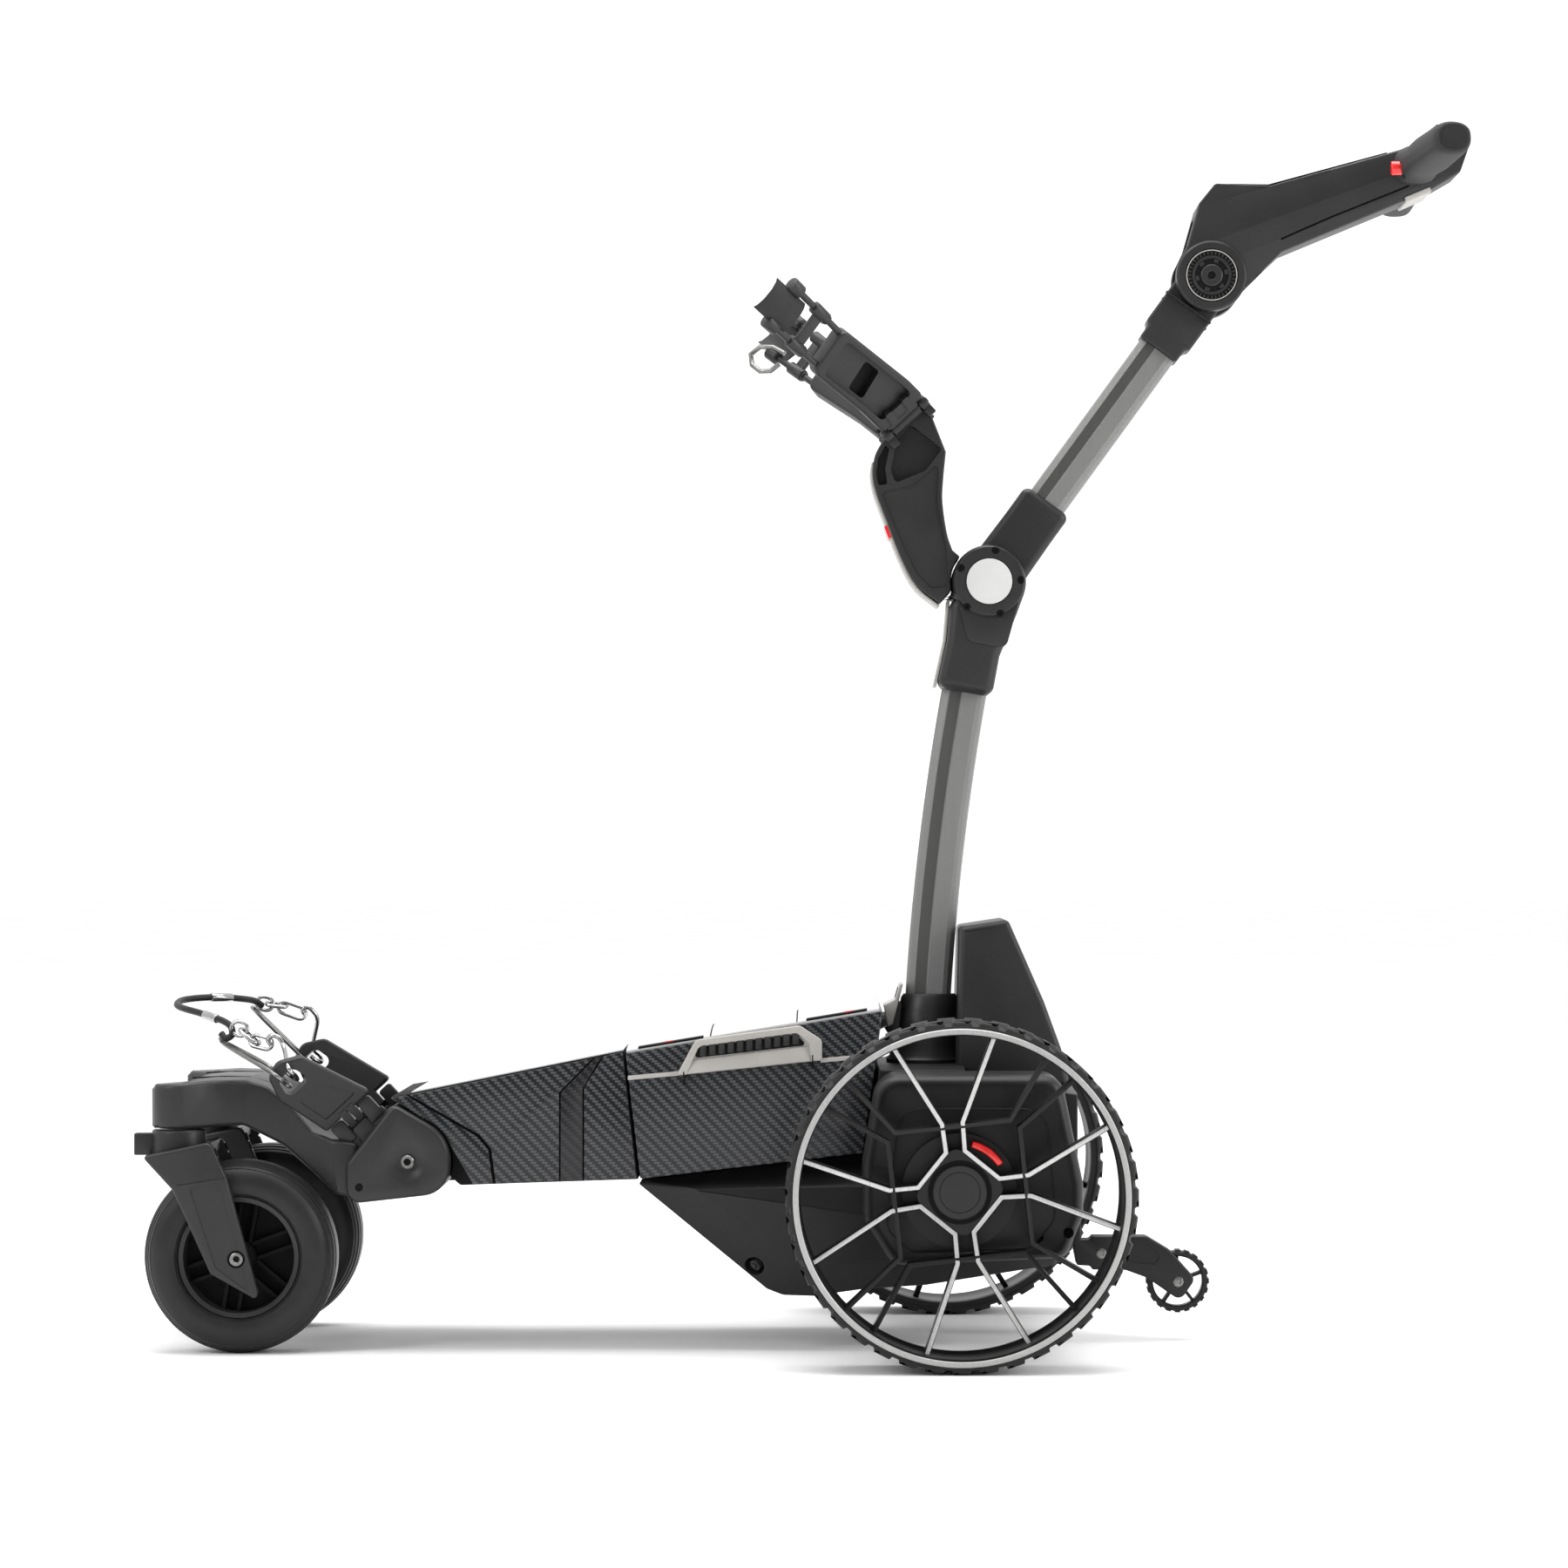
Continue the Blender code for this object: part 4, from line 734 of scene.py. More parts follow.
# %% Frame, sill and ribs of the lifting grip
FRAME_OUT = rounded([(-239, 236.5, 2), (-114.5, 249.6, 2), (-114.5, 267, 5), (-133.5, 279.5, 7),
                     (-222.5, 267.2, 8)])
FRAME_IN = rounded([(-231.5, 236, 2), (-123.6, 246, 2), (-125.4, 265, 5), (-136.5, 273.2, 5),
                    (-219.5, 261.8, 6)])
for side_name, side in SIDES:
    bm = bmesh.new()
    slab(bm, FRAME_OUT, side * 115.2, side * 120.6)
    soften(bm, 1.4, 3, 30)
    tool = bmesh.new()
    slab(tool, FRAME_IN, side * 117.2, side * 130)
    bm = carve(bm, tool)
    hand_over(bm, f"grip_frame_{side_name}", SILVER_TRIM, "battery",
              [f"battery_bezel_{side_name}"])
    bm = bmesh.new()
    sill = slab(bm, [(-230.6, 238), (-124.2, 249.2), (-124.8, 262), (-227, 249.4)],
                side * 117.3, side * 118.4)
    for corner in sill:
        if corner.co.z < 250 and abs(corner.co.y) > 118 and corner.co.z < silver_line(
                corner.co.x) + 2:
            corner.co.y += side * 1.8
    soften(bm, 0.5, 2, 30)
    hand_over(bm, f"grip_sill_{side_name}", SILVER_TRIM, "battery", ())
    bm = bmesh.new()
    slab(bm, rounded([(-224, 251.4, 2), (-127.4, 262.6, 2), (-136.8, 271.6, 3),
                      (-219.4, 260.8, 3)]), side * 117.25, side * 118.6)
    soften(bm, 0.5, 2, 30)
    hand_over(bm, f"grip_shadow_{side_name}", BLACK_AND_RECESS_SHADE, "battery", ())
    bm = bmesh.new()
    for index in range(11):
        x = -216 + 7.9 * index
        foot = 253.0 + (x + 216) * 0.128
        rod(bm, (x, side * 118.5, foot), (x, side * 118.5, foot + 9.2), 3.0, 16)
    soften(bm, 0.8, 2, 60)
    hand_over(bm, f"grip_ribs_{side_name}", GRIP, "battery", [f"battery_grip_{side_name}"])
    bm = bmesh.new()
    for x, z in ((-232.6, 229), (-122.6, 243.2)):
        slab(bm, [(x - 0.5, z), (x + 0.5, z), (x + 0.5, z + 11), (x - 0.5, z + 11)],
             side * 114.9, side * 120.8)
    hand_over(bm, f"grip_frame_slits_{side_name}", BLACK_AND_RECESS_SHADE, "battery", ())
print("each grip has", 11, "ribs")

# %% [markdown]
# The latch at the back of the lid is a silver wedge with a thin upright pull.

# %% Battery latch
bm = bmesh.new()
slab(bm, [(-60.6, 293.6), (-51, 298.2), (-46.8, 312), (-43.8, 312), (-48.8, 292), (-52.8, 276.5),
          (-57.2, 275)], -26, 26)
soften(bm, 1.0, 3, 30)
hand_over(bm, "battery_latch_pull", SILVER_TRIM, "battery_latch_body", ["battery_latch"])
bm = bmesh.new()
slab(bm, [(-50.6, 299.6), (-48.0, 308.6), (-47.4, 308.4), (-50.0, 299.4)], -18, 18)
hand_over(bm, "battery_latch_slot", BLACK_AND_RECESS_SHADE, "battery_latch_body", ())
print("latch stands", 312 - 275, "mm tall")

# %% [markdown]
# ## Drive pods and cowl
# Each pod is a deep rounded housing around a motor and gear. The wheel hides most of it, so
# what shows is its big soft edge, a raised square around the axle, and the screw wells.

# %% Drive pods
POD = rounded([(-80, 119, 16), (-55, 81, 16), (90, 87, 14), (104.5, 122, 14),
               (104.5, 150, 20), (86, 240.6, 18), (-68, 240.6, 22), (-80, 165, 8)], 0, 6)
POD_ROOT, POD_FACE = 112.4, 195  # mm out from the middle of the trolley
WELLS = ((-28.7, 106.8), (33.4, 114.0), (66.3, 105.3), (92.0, 108.8))
for side_name, side in SIDES:
    bm = bmesh.new()
    slab(bm, POD, side * POD_ROOT, side * POD_FACE)
    round_rim(bm, side * POD_FACE, 11, 6)
    tool = bmesh.new()
    for x, z in WELLS:
        rod(tool, (x, side * 184, z), (x, side * 200, z), 4.6, 24)
    bm = carve(bm, tool)
    hand_over(bm, f"pod_housing_{side_name}", HOUSING, "chassis",
              [f"motor_pod_{side_name}", f"drive_motor_{side_name}"], 40)
    bm = bmesh.new()
    slab(bm, rounded([(-36, 112, 16), (35, 112, 16), (35, 182, 16), (-36, 182, 16)], 0, 6),
         side * 193, side * 198.6)
    slab(bm, rounded([(-62, 112, 20), (-40, 92, 12), (60, 95, 12), (82, 120, 20), (74, 214, 22),
                      (-50, 214, 22)], 0, 6), side * 193, side * 196.2)
    soften(bm, 2.4, 4, 30)
    hand_over(bm, f"pod_boss_{side_name}", HOUSING, "chassis", (), 40)
    bm = bmesh.new()
    for x, z in WELLS:
        rod(bm, (x, side * 183.8, z), (x, side * 187.5, z), 3.4, 20)
    soften(bm, 0.6, 2, 40)
    hand_over(bm, f"pod_screws_{side_name}", BLACK_AND_RECESS_SHADE, "chassis", ())
print("each pod has", len(WELLS), "screw wells")

# %% Rear cowl
bm = bmesh.new()
slab(bm, rounded([(5.0, 362.6, 4), (46.4, 369.0, 5), (77, 298.6), (92, 257.4),
                  (100, 223.6), (1.6, 237.8)]), -75.6, 75.6)
bmesh.ops.bisect_plane(bm, geom=bm.verts[:] + bm.edges[:] + bm.faces[:],
                       plane_co=(8, 0, 284), plane_no=(-0.13, 0, 1))
for corner in bm.verts:
    inward = 2.0 + 0.11 * max(0.0, corner.co.z - 284 - 0.13 * (corner.co.x - 8))
    corner.co.y -= math.copysign(inward, corner.co.y)
soften(bm, 5.0, 4, 30)
hand_over(bm, "tail_cowl", HOUSING, "chassis", ["rear_cowl"], 40)
print("cowl rises to", 369, "mm")

# %% [markdown]
# ## Mast
# The lower tube is one gently bowed extrusion: a narrow nose, a dark leaning band and a
# broad bright flank; the band's shade is painted on as a darker strip. The same section, drawn
# once, is swept along the bow.

# %% The bowed middle line and the extrusion's section
MAST_FOOT, MAST_LENGTH, LEANS = (-23.5, 262.0), 342.0, (2.5, 11.0)


def bow(distance):
    """Place and lean of the mast's middle line at a distance up from its foot."""
    x, z = MAST_FOOT
    steps = 24
    for step in range(steps):
        lean = LEANS[0] + (LEANS[1] - LEANS[0]) * distance * (step + 0.5) / (
            steps * MAST_LENGTH)
        x += math.sin(math.radians(lean)) * distance / steps
        z += math.cos(math.radians(lean)) * distance / steps
    return x, z, math.radians(LEANS[0] + (LEANS[1] - LEANS[0]) * distance / MAST_LENGTH)


def sweep(bm, section, places):
    """A section (along x, across y) carried through places (x, z, lean) and capped."""
    skin_over(bm, [[(x + u * math.cos(lean), v, z - u * math.sin(lean)) for u, v in section]
                   for x, z, lean in places])


def both_flanks(half):
    """A section's half, front to back on +y, mirrored into the whole section."""
    return half + [(u, -v) for u, v in half[::-1] if v > 1e-6]


TUBE = both_flanks([(-19.6, 5.5), (-17.8, 8.0), (-13.4, 10.6), (-12.6, 12.6), (-2.4, 15.2),
                    (-1.4, 16.8), (12.0, 16.9), (15.6, 15.8), (18.6, 12.2), (19.8, 6.0)])
bm = bmesh.new()
sweep(bm, TUBE, [bow(MAST_LENGTH * step / 20) for step in range(21)])
hand_over(bm, "lower_tube", MAST_COAT, "chassis", ["lower_mast_tube"], 12)
# Painted shade: a darker strip on the leaning facet stands for the shade that falls on it.
for side_name, side in SIDES:
    bm = bmesh.new()
    strip = [(-12.4, side * 12.75), (-2.6, side * 15.25), (-2.6, side * 14.6),
             (-12.4, side * 12.1)]
    sweep(bm, strip, [bow(MAST_LENGTH * step / 20) for step in range(21)])
    hand_over(bm, f"lower_tube_band_{side_name}", FACET_SHADE_AND_LINE_COAT, "chassis", (), 20)
bm = bmesh.new()
for offset in (-3.0, -1.0, 1.0, 3.0):
    sweep(bm, [(-19.75, offset - 0.25), (-19.5, offset - 0.25), (-19.5, offset + 0.25),
               (-19.75, offset + 0.25)], [bow(MAST_LENGTH * step / 20) for step in range(21)])
hand_over(bm, "lower_tube_die_lines", FACET_SHADE_AND_LINE_COAT, "chassis", (), 20)
print("mast tube is", round(2 * 16.9, 1), "by", 39.4, "mm")

# %% Boot at the mast's foot
bm = bmesh.new()
BOOT = ((243.2, -25.0, 33.0, 37), (246.0, -25.0, 33.4, 37.2), (249.5, -24.8, 30.6, 34.2),
        (258, -24.4, 29.4, 33), (272, -22.9, 27.6, 30), (290, -21.4, 25.6, 27),
        (300, -20.6, 24.6, 25), (303, -20.4, 22.6, 23))
skin_over(bm, [[(middle + half_x * u, half_y * v, height)
                for u, v in arc((0, 0), 1, 0, 354, 59)]
               for height, middle, half_x, half_y in BOOT])
hand_over(bm, "mast_boot", FORK_SKIN, "chassis", ["mast_base_socket"], 40)
bm = bmesh.new()
for y in (-13, 13):
    slab(bm, rounded([(-57.5, 262, 2), (-48.2, 262, 2), (-44.5, 296, 2), (-52.0, 296, 3)]),
         y - 4, y + 4)
soften(bm, 0.8, 2, 30)
hand_over(bm, "latch_guides", FORK_SKIN, "chassis", ())
print("boot stands", 303 - 243, "mm tall")

# %% [markdown]
# The mast joint is a fork around the upper sleeve's knuckle, with a flat round cover held by
# five screws and a tongue below it. Its front edge is a thin silver strip.

# %% Mast joint
PIVOT = (31.4, 663.3)
FORK = [(-14.5, 571), (34, 562.6), (40.5, 598), (56, 636)] + arc(PIVOT, 32.5, -20, 204, 28) + [
    (-2.2, 650), (-5.5, 612)]
bm = bmesh.new()
slab(bm, FORK, -33, 33)
soften(bm, 9.0, 6, 40, lambda edge: abs(edge.verts[0].co.y) > 32 and abs(
    edge.verts[1].co.y) > 32)
tool = bmesh.new()
slab(tool, [(-60, 620), (90, 620), (90, 720), (-60, 720)], -21, 21)
bm = carve(bm, tool)
hand_over(bm, "joint_fork", HOUSING, "chassis", ["joint_housing"], 40)
SCREWS = ((36.8, 690.5), (6.4, 675.0), (59.0, 664.4), (11.5, 640.8), (41.0, 635.0))
for side_name, side in SIDES:
    bm = bmesh.new()
    slab(bm, arc(PIVOT, 30.4, 0, 354, 59), side * 33.2, side * 37.6)
    soften(bm, 1.0, 3, 50)
    tool = bmesh.new()
    for x, z in SCREWS:
        rod(tool, (x, side * 35.4, z), (x, side * 40, z), 3.5, 24)
    turned(tool, [(20.4, 36.9 * side), (21.0, 36.9 * side), (21.0, 40 * side),
                  (20.4, 40 * side)], (PIVOT[0], 0, PIVOT[1]), steps=64)
    bm = carve(bm, tool)
    hand_over(bm, f"joint_disc_{side_name}", HOUSING, "chassis", [f"joint_cover_{side_name}"],
              40)
    bm = bmesh.new()
    slab(bm, rounded([(5, 642, 3), (13, 611, 7), (46, 605, 7), (58, 648, 3)]),
         side * 32.9, side * 34.0)
    soften(bm, 0.5, 2, 30)
    hand_over(bm, f"joint_tongue_{side_name}", HOUSING, "chassis", ())
    bm = bmesh.new()
    turned(bm, [(0.01, 37.4 * side), (19.8, 37.4 * side), (19.8, 37.9 * side),
                (19.0, 38.2 * side), (0.01, 38.2 * side)], (PIVOT[0], 0, PIVOT[1]), steps=64)
    hand_over(bm, f"joint_badge_blank_{side_name}", PALE_SATIN_AND_REFLECTION, "chassis", ())
    bm = bmesh.new()
    for x, z in SCREWS:
        turned(bm, [(1.5, 35.3 * side), (2.9, 35.3 * side), (2.9, 36.7 * side),
                    (2.3, 37.1 * side), (1.5, 37.1 * side)], (x, 0, z), steps=24)
        rod(bm, (x, side * 35.2, z), (x, side * 36.0, z), 1.6, 6)
    hand_over(bm, f"joint_screws_{side_name}", BLACK_AND_RECESS_SHADE, "chassis", ())
bm = bmesh.new()
slab(bm, [(-17.4, 572), (-14.7, 571.2), (-5.9, 612), (-2.6, 648), (-5.2, 648), (-8.6, 612)],
     -20, 20)
soften(bm, 0.8, 2, 30)
hand_over(bm, "joint_front_strip", SILVER_TRIM, "chassis", ())
print("joint has", len(SCREWS), "screws a side")

# %% Bag bracket
FRONT_EDGE = [(-12, 644.5), (-32.2, 660.5), (-45.5, 684), (-57.5, 715), (-67.2, 741),
              (-70.2, 757), (-68.2, 774), (-60, 789)]
BACK_EDGE = [(-25.4, 825.7), (-6.2, 777), (-8.6, 752), (-9.2, 733), (-5.4, 706), (-0.6, 691)]


def curve(knots, per_span=5):
    """A smooth outline through a few points of the side view."""
    knots = [Vector(k) for k in knots]
    ends = [2 * knots[0] - knots[1]] + knots + [2 * knots[-1] - knots[-2]]
    points = []
    for p, q, r, s in zip(ends, ends[1:], ends[2:], ends[3:]):
        for step in range(per_span):
            t = step / per_span
            points.append(tuple(0.5 * (2 * q + (r - p) * t + (2 * p - 5 * q + 4 * r - s) * t ** 2
                                       + (3 * q - p - 3 * r + s) * t ** 3)))
    return points + [tuple(knots[-1])]


OUTER = curve(FRONT_EDGE)
INNER = [BACK_EDGE[0]] + curve(BACK_EDGE[1:])
SEAT = arc(PIVOT, 33.4, 139, 192, 10)
bm = bmesh.new()
slab(bm, OUTER + INNER + SEAT, -28.5, 28.5)
soften(bm, 1.6, 3, 40)
panel = rounded([(-19, 657, 4), (-4.5, 660, 3), (-5.5, 690, 6), (-14.0, 733, 8),
                 (-12.2, 768.5, 3), (-22, 758.5, 8), (-36.5, 748, 8), (-62.5, 741.5, 3),
                 (-56.5, 725, 10), (-43, 693, 12), (-32.5, 671, 8)])
hollow_a = rounded([(-36.7, 800.8, 3), (-9.6, 779.5, 3), (-24, 760.4, 12), (-50.6, 749.6, 4),
                    (-54.4, 760.5, 6), (-49.4, 787, 6)])
hollow_b = rounded([(-57.4, 748.6, 2), (-65.2, 747.6, 2), (-67.2, 758, 4), (-65.4, 771, 4),
                    (-58.6, 783.6, 2), (-55.8, 779, 2), (-59.4, 762, 4)])
for side in (-1, 1):
    for outline, floor_at in ((panel, 26.9), (hollow_a, 15.0), (hollow_b, 12.0)):
        tool = bmesh.new()
        slab(tool, outline, side * floor_at, side * 40)
        bm = carve(bm, tool)
hand_over(bm, "bag_bracket_body", HOUSING, "chassis", ["bag_bracket"], 40)
bm = bmesh.new()
strip = curve([(-14, 641.8), (-34.0, 658.6), (-47.5, 683.2), (-59.5, 714.3), (-69.3, 740.5),
               (-72.5, 757), (-71.2, 768)])
slab(bm, strip + [(x + 2.4, z + 0.8) for x, z in strip[::-1]], -24, 24)
soften(bm, 0.6, 2, 30)
hand_over(bm, "bag_bracket_front_strip", SILVER_TRIM, "chassis", ())
bm = bmesh.new()
slab(bm, [(-60.2, 712), (-56.4, 701.5), (-53.8, 702.4), (-57.6, 713)], -24.4, 24.4)
hand_over(bm, "bag_bracket_marker", RED, "chassis", ())
for side_name, side in SIDES:
    lean = Matrix.Rotation(math.radians(-43), 3, "Y")
    along = lean @ Vector((1, 0, 0))
    hinge = Vector((-42, side * 34, 805))
    bm = bmesh.new()
    for near, far in ((-25, -17), (17, 25)):
        rod(bm, hinge + along * near, hinge + along * far, 6.4, 24)
        arm = slab(bm, [(near, -13), (far, -13), (far, 3), (near, 3)], side * 22, side * 34)
        for corner in arm:
            corner.co = lean @ corner.co + Vector((-42, 0, 805))
    soften(bm, 0.8, 2, 40)
    hand_over(bm, f"bag_bracket_lugs_{side_name}", HOUSING, "chassis", ())
print("bag bracket carries the cradle hinges at", (-42, 34, 805))

# %% [markdown]
# ## Drive wheels
# The tyre is a thin rubber tread, moulded with two rows of blocks out of step with each
# other. One block is drawn and then copied round by the spin operator.

# %% Tyres and their tread blocks
WHEEL = (0, 0, 145)
BLOCKS = 40
for side_name, side in SIDES:
    bm = bmesh.new()
    turned(bm, [(138.7, side * 209), (140.2, side * 208.7), (141.9, side * 212),
                (141.9, side * 287), (140.2, side * 290.9), (138.7, side * 290.9)],
           WHEEL, steps=160)
    rows = (
        (0.0, [(290.6, 139.6), (289.6, 143.4), (284.5, 144.9), (255, 144.9), (251, 141.8),
               (251, 139.6)]),
        (4.5, [(209.2, 139.6), (210.4, 143.4), (215.5, 144.9), (245, 144.9), (249, 141.8),
               (249, 139.6)]),
    )
    for shift, outline in rows:
        lug = bmesh.new()
        slab(lug, [(side * y, 145 + z) for y, z in outline], -8.7, 8.7, "yz")
        for corner in lug.verts:
            if corner.co.z > 145 + 143:
                corner.co.x *= 0.82
        tool = bmesh.new()
        edge = 291 if outline[0][0] > 250 else 209
        rod(tool, (4.5, side * (edge - 6), 145 + 145), (4.5, side * (edge + 6), 145 + 145),
            2.6, 16)
        lug = carve(lug, tool)
        soften(lug, 0.5, 2, 35)
        move(lug, Matrix.Translation(WHEEL) @ Matrix.Rotation(math.radians(shift), 4, "Y")
             @ Matrix.Translation(-Vector(WHEEL)))
        bmesh.ops.spin(lug, geom=lug.verts[:] + lug.edges[:] + lug.faces[:], cent=WHEEL,
                       axis=(0, 1, 0), dvec=(0, 0, 0),
                       angle=math.tau * (BLOCKS - 1) / BLOCKS, steps=BLOCKS - 1,
                       use_duplicate=True)
        spare = bpy.data.meshes.new("tread_row")
        lug.to_mesh(spare)
        lug.free()
        bm.from_mesh(spare)
        bpy.data.meshes.remove(spare)
    hand_over(bm, f"tyre_{side_name}", TREAD, f"wheel_{side_name}",
              [f"rear_tyre_{side_name}"], 30)
print("each tyre has", 2 * BLOCKS, "blocks")

# %% [markdown]
# The rim is a dished star. Four bent ribs in front have bright machined edges; four dark
# ribs stand behind them, crossing the gaps. Ribs are drawn flat, extruded, and then sunk
# towards the hub so that the star is dished.

# %% Rims
TURN = 6.35


def on_arm(angle, distance, offset):
    """A point beside an arm of the star: distance along the arm, offset across it."""
    t = math.radians(angle)
    return (distance * math.cos(t) - offset * math.sin(t),
            distance * math.sin(t) + offset * math.cos(t))


def dish(verts, side, depth):
    """Sinks points towards the hub: all the way inside 34 mm, not at all at the ring."""
    for corner in verts:
        reach = min(max(math.hypot(corner.co.x, corner.co.z), 34.0), 134.0)
        corner.co.y -= side * depth * (1 - (reach - 34.0) / 100.0)


FRONT_RIBS = [[
    on_arm(arm + 18.45, 135.5, 0), on_arm(arm, 58, 8.6), on_arm(arm, 34, 7.8),
    on_arm(arm + 90, 34, -7.8), on_arm(arm + 90, 58, -8.6), on_arm(arm + 90 - 18.45, 135.5, 0),
] for arm in (TURN, TURN + 90, TURN + 180, TURN + 270)]
BACK_RIBS = [[
    on_arm(arm - 45 + 6.3, 135.5, 0), on_arm(arm, 55, -48), on_arm(arm, 55, 48),
    on_arm(arm + 45 - 6.3, 135.5, 0),
] for arm in (TURN, TURN + 90, TURN + 180, TURN + 270)]

for side_name, side in SIDES:
    body = f"wheel_{side_name}"
    bm = bmesh.new()
    for path in FRONT_RIBS:
        dish(slab(bm, band(path, 4.6), side * 232, side * 255.2), side, 28)
    for path in BACK_RIBS:
        dish(slab(bm, band(path, 3.8), side * 226, side * 250), side, 26)
    soften(bm, 0.5, 2, 40)
    slab(bm, rounded([(*on_arm(TURN + 90 * quarter, 39.5, 0), 9) for quarter in range(4)]),
         side * 206, side * 226.4)
    move(bm, Matrix.Translation(WHEEL))
    turned(bm, [(0.01, side * 205.6), (48, side * 205.6), (48, side * 209.4),
                (0.01, side * 209.4)], WHEEL, steps=64)
    turned(bm, [(133.6, side * 209.6), (138.5, side * 209.6), (138.5, side * 290.7),
                (133.6, side * 290.7), (132.6, side * 286), (132.6, side * 281),
                (134.0, side * 276), (134.0, side * 224), (132.6, side * 219),
                (132.6, side * 213)], WHEEL, steps=128)
    hand_over(bm, f"rim_star_{side_name}", HULL_SKIN, body, [f"rear_rim_{side_name}"],
              30)
    bm = bmesh.new()
    for path in FRONT_RIBS:
        dish(slab(bm, band(path, 3.5), side * 254.6, side * 256), side, 28)
    soften(bm, 0.35, 2, 40)
    move(bm, Matrix.Translation(WHEEL))
    hand_over(bm, f"rib_edges_{side_name}", SPOKE_SILVER, body, (), 30)
    bm = bmesh.new()
    turned(bm, [(133.7, side * 290.2), (138.5, side * 290.2), (138.5, side * 291.6),
                (137.7, side * 292.35), (134.5, side * 292.35), (133.7, side * 291.6)],
           WHEEL, steps=160)
    hand_over(bm, f"rim_ring_{side_name}", RIM_SILVER, body, (), 30)
    bm = bmesh.new()
    turned(bm, [(23.2, side * 226.0), (26.6, side * 226.0), (26.6, side * 226.7),
                (23.2, side * 226.7)], WHEEL, steps=64)
    hand_over(bm, f"hub_shadow_ring_{side_name}", BLACK_AND_RECESS_SHADE, body, (), 30)
    bm = bmesh.new()
    turned(bm, [(0.01, side * 225.8), (22.9, side * 225.8), (22.9, side * 228.2),
                (21.9, side * 229.3), (17.2, side * 229.3), (16.8, side * 228.9),
                (16.4, side * 229.3), (0.01, side * 229.3)], WHEEL, steps=64)
    hand_over(bm, f"hub_cap_{side_name}", FORK_SKIN, body, [f"rear_hub_cap_{side_name}"],
              30)
    bm = bmesh.new()
    slab(bm, [(u, v + 145) for u, v in band(arc((0, 0), 41, 34, 76, 16), 5.8)],
         side * 210.6, side * 223.8)
    soften(bm, 1.4, 3, 40)
    hand_over(bm, f"release_tab_{side_name}", RED, f"release_{side_name}",
              [f"wheel_release_{side_name}"], 30)
print("the star is dished by", 28, "mm")

# %% [markdown]
# ## Front arm
# The arm is a moulded yoke that carries both casters. It swings on a bolt between two
# D-shaped cheeks with covers.

# %% Yoke and cheeks
CASTER = (-665.0, 110.0)
YOKE_SIDE = rounded([(-688, 192, 4), (-660, 191), (-612, 193, 12), (-579, 176, 20),
                     (-553, 154, 12), (-531, 134.5, 6), (-512, 131.5), (-512, 178),
                     (-534, 181.5, 3), (-552, 189, 10), (-573, 213, 14), (-592, 226.5, 16),
                     (-610, 231.8, 10), (-640, 232.0), (-661, 230.0), (-684, 229.2, 4),
                     (-688, 224, 4)])
YOKE_PLAN = ([(-655, -60), (-666, -86)] + arc((CASTER[0], -CASTER[1]), 22.8, 180, 290, 14)
             + [(-632, -112), (-608, -98), (-575, -95), (-548, -104), (-530, -111), (-511, -111),
                (-511, 111), (-530, 111), (-548, 104), (-575, 95), (-608, 98), (-632, 112)]
             + arc((CASTER[0], CASTER[1]), 22.8, 70, 180, 14) + [(-666, 86), (-655, 60)])
bm = bmesh.new()
slab(bm, YOKE_SIDE, -140, 140)
tool = bmesh.new()
slab(tool, YOKE_PLAN, 100, 260, "xy")
bm = carve(bm, tool, "INTERSECT")
soften(bm, 4.0, 4, 38)
hand_over(bm, "yoke", FORK_SKIN, "front_arm", ["front_yoke"], 45)
CHEEK = rounded([(-521, 126.6, 12), (-521, 161, 8), (-481, 213, 8), (-431.9, 184.7, 36),
                 (-431.9, 136.6, 25)], 0, 8)
COVER_BACK, COVER_FACE = 112.6, 124.4  # mm out from the middle of the trolley
bm = bmesh.new()
for side in (-1, 1):
    slab(bm, CHEEK, side * 40, side * 111.6)
slab(bm, [(-520, 128), (-520, 161), (-502, 185), (-502, 128)], -41, 41)
soften(bm, 1.5, 2, 40)
hand_over(bm, "arm_cheeks", HOUSING, "front_arm", (), 40)
for side_name, side in SIDES:
    bm = bmesh.new()
    slab(bm, CHEEK, side * COVER_BACK, side * COVER_FACE)
    round_rim(bm, side * COVER_FACE, 4.6, 5)
    tool = bmesh.new()
    turned(tool, [(0.01, side * 120.2), (8, side * 120.3), (10.5, side * 121.0),
                  (14, side * 123.0), (17.5, side * 124.0), (22, side * 124.9),
                  (22, side * 130), (0.01, side * 130)], (ARM[0], 0, ARM[1]), steps=64)
    rod(tool, (-509.5, side * 121.5, 141.5), (-509.5, side * 130, 141.5), 3.6, 24)
    bm = carve(bm, tool)
    hand_over(bm, f"cheek_cover_{side_name}", FORK_SKIN, "front_arm",
              [f"pivot_cover_{side_name}"], 40)
    bm = bmesh.new()
    turned(bm, [(2.7, side * 118), (5.8, side * 118), (5.8, side * 123.0),
                (5.0, side * 123.7), (3.2, side * 123.7), (2.7, side * 123.0)],
           (ARM[0], 0, ARM[1]), steps=48)
    hand_over(bm, f"fold_bolt_head_{side_name}", STEEL, "front_arm", ())
    bm = bmesh.new()
    rod(bm, (-509.5, side * 121.0, 141.5), (-509.5, side * 122.8, 141.5), 2.6, 20)
    rod(bm, (ARM[0], side * 118, ARM[1]), (ARM[0], side * 121.5, ARM[1]), 2.9, 6)
    hand_over(bm, f"cover_screw_wells_{side_name}", BLACK_AND_RECESS_SHADE, "front_arm", ())
bm = bmesh.new()
rod(bm, (ARM[0], -118, ARM[1]), (ARM[0], 118, ARM[1]), 5.0, 32)
hand_over(bm, "fold_bolt_shank", STEEL, "front_arm", ["fold_bolt"])
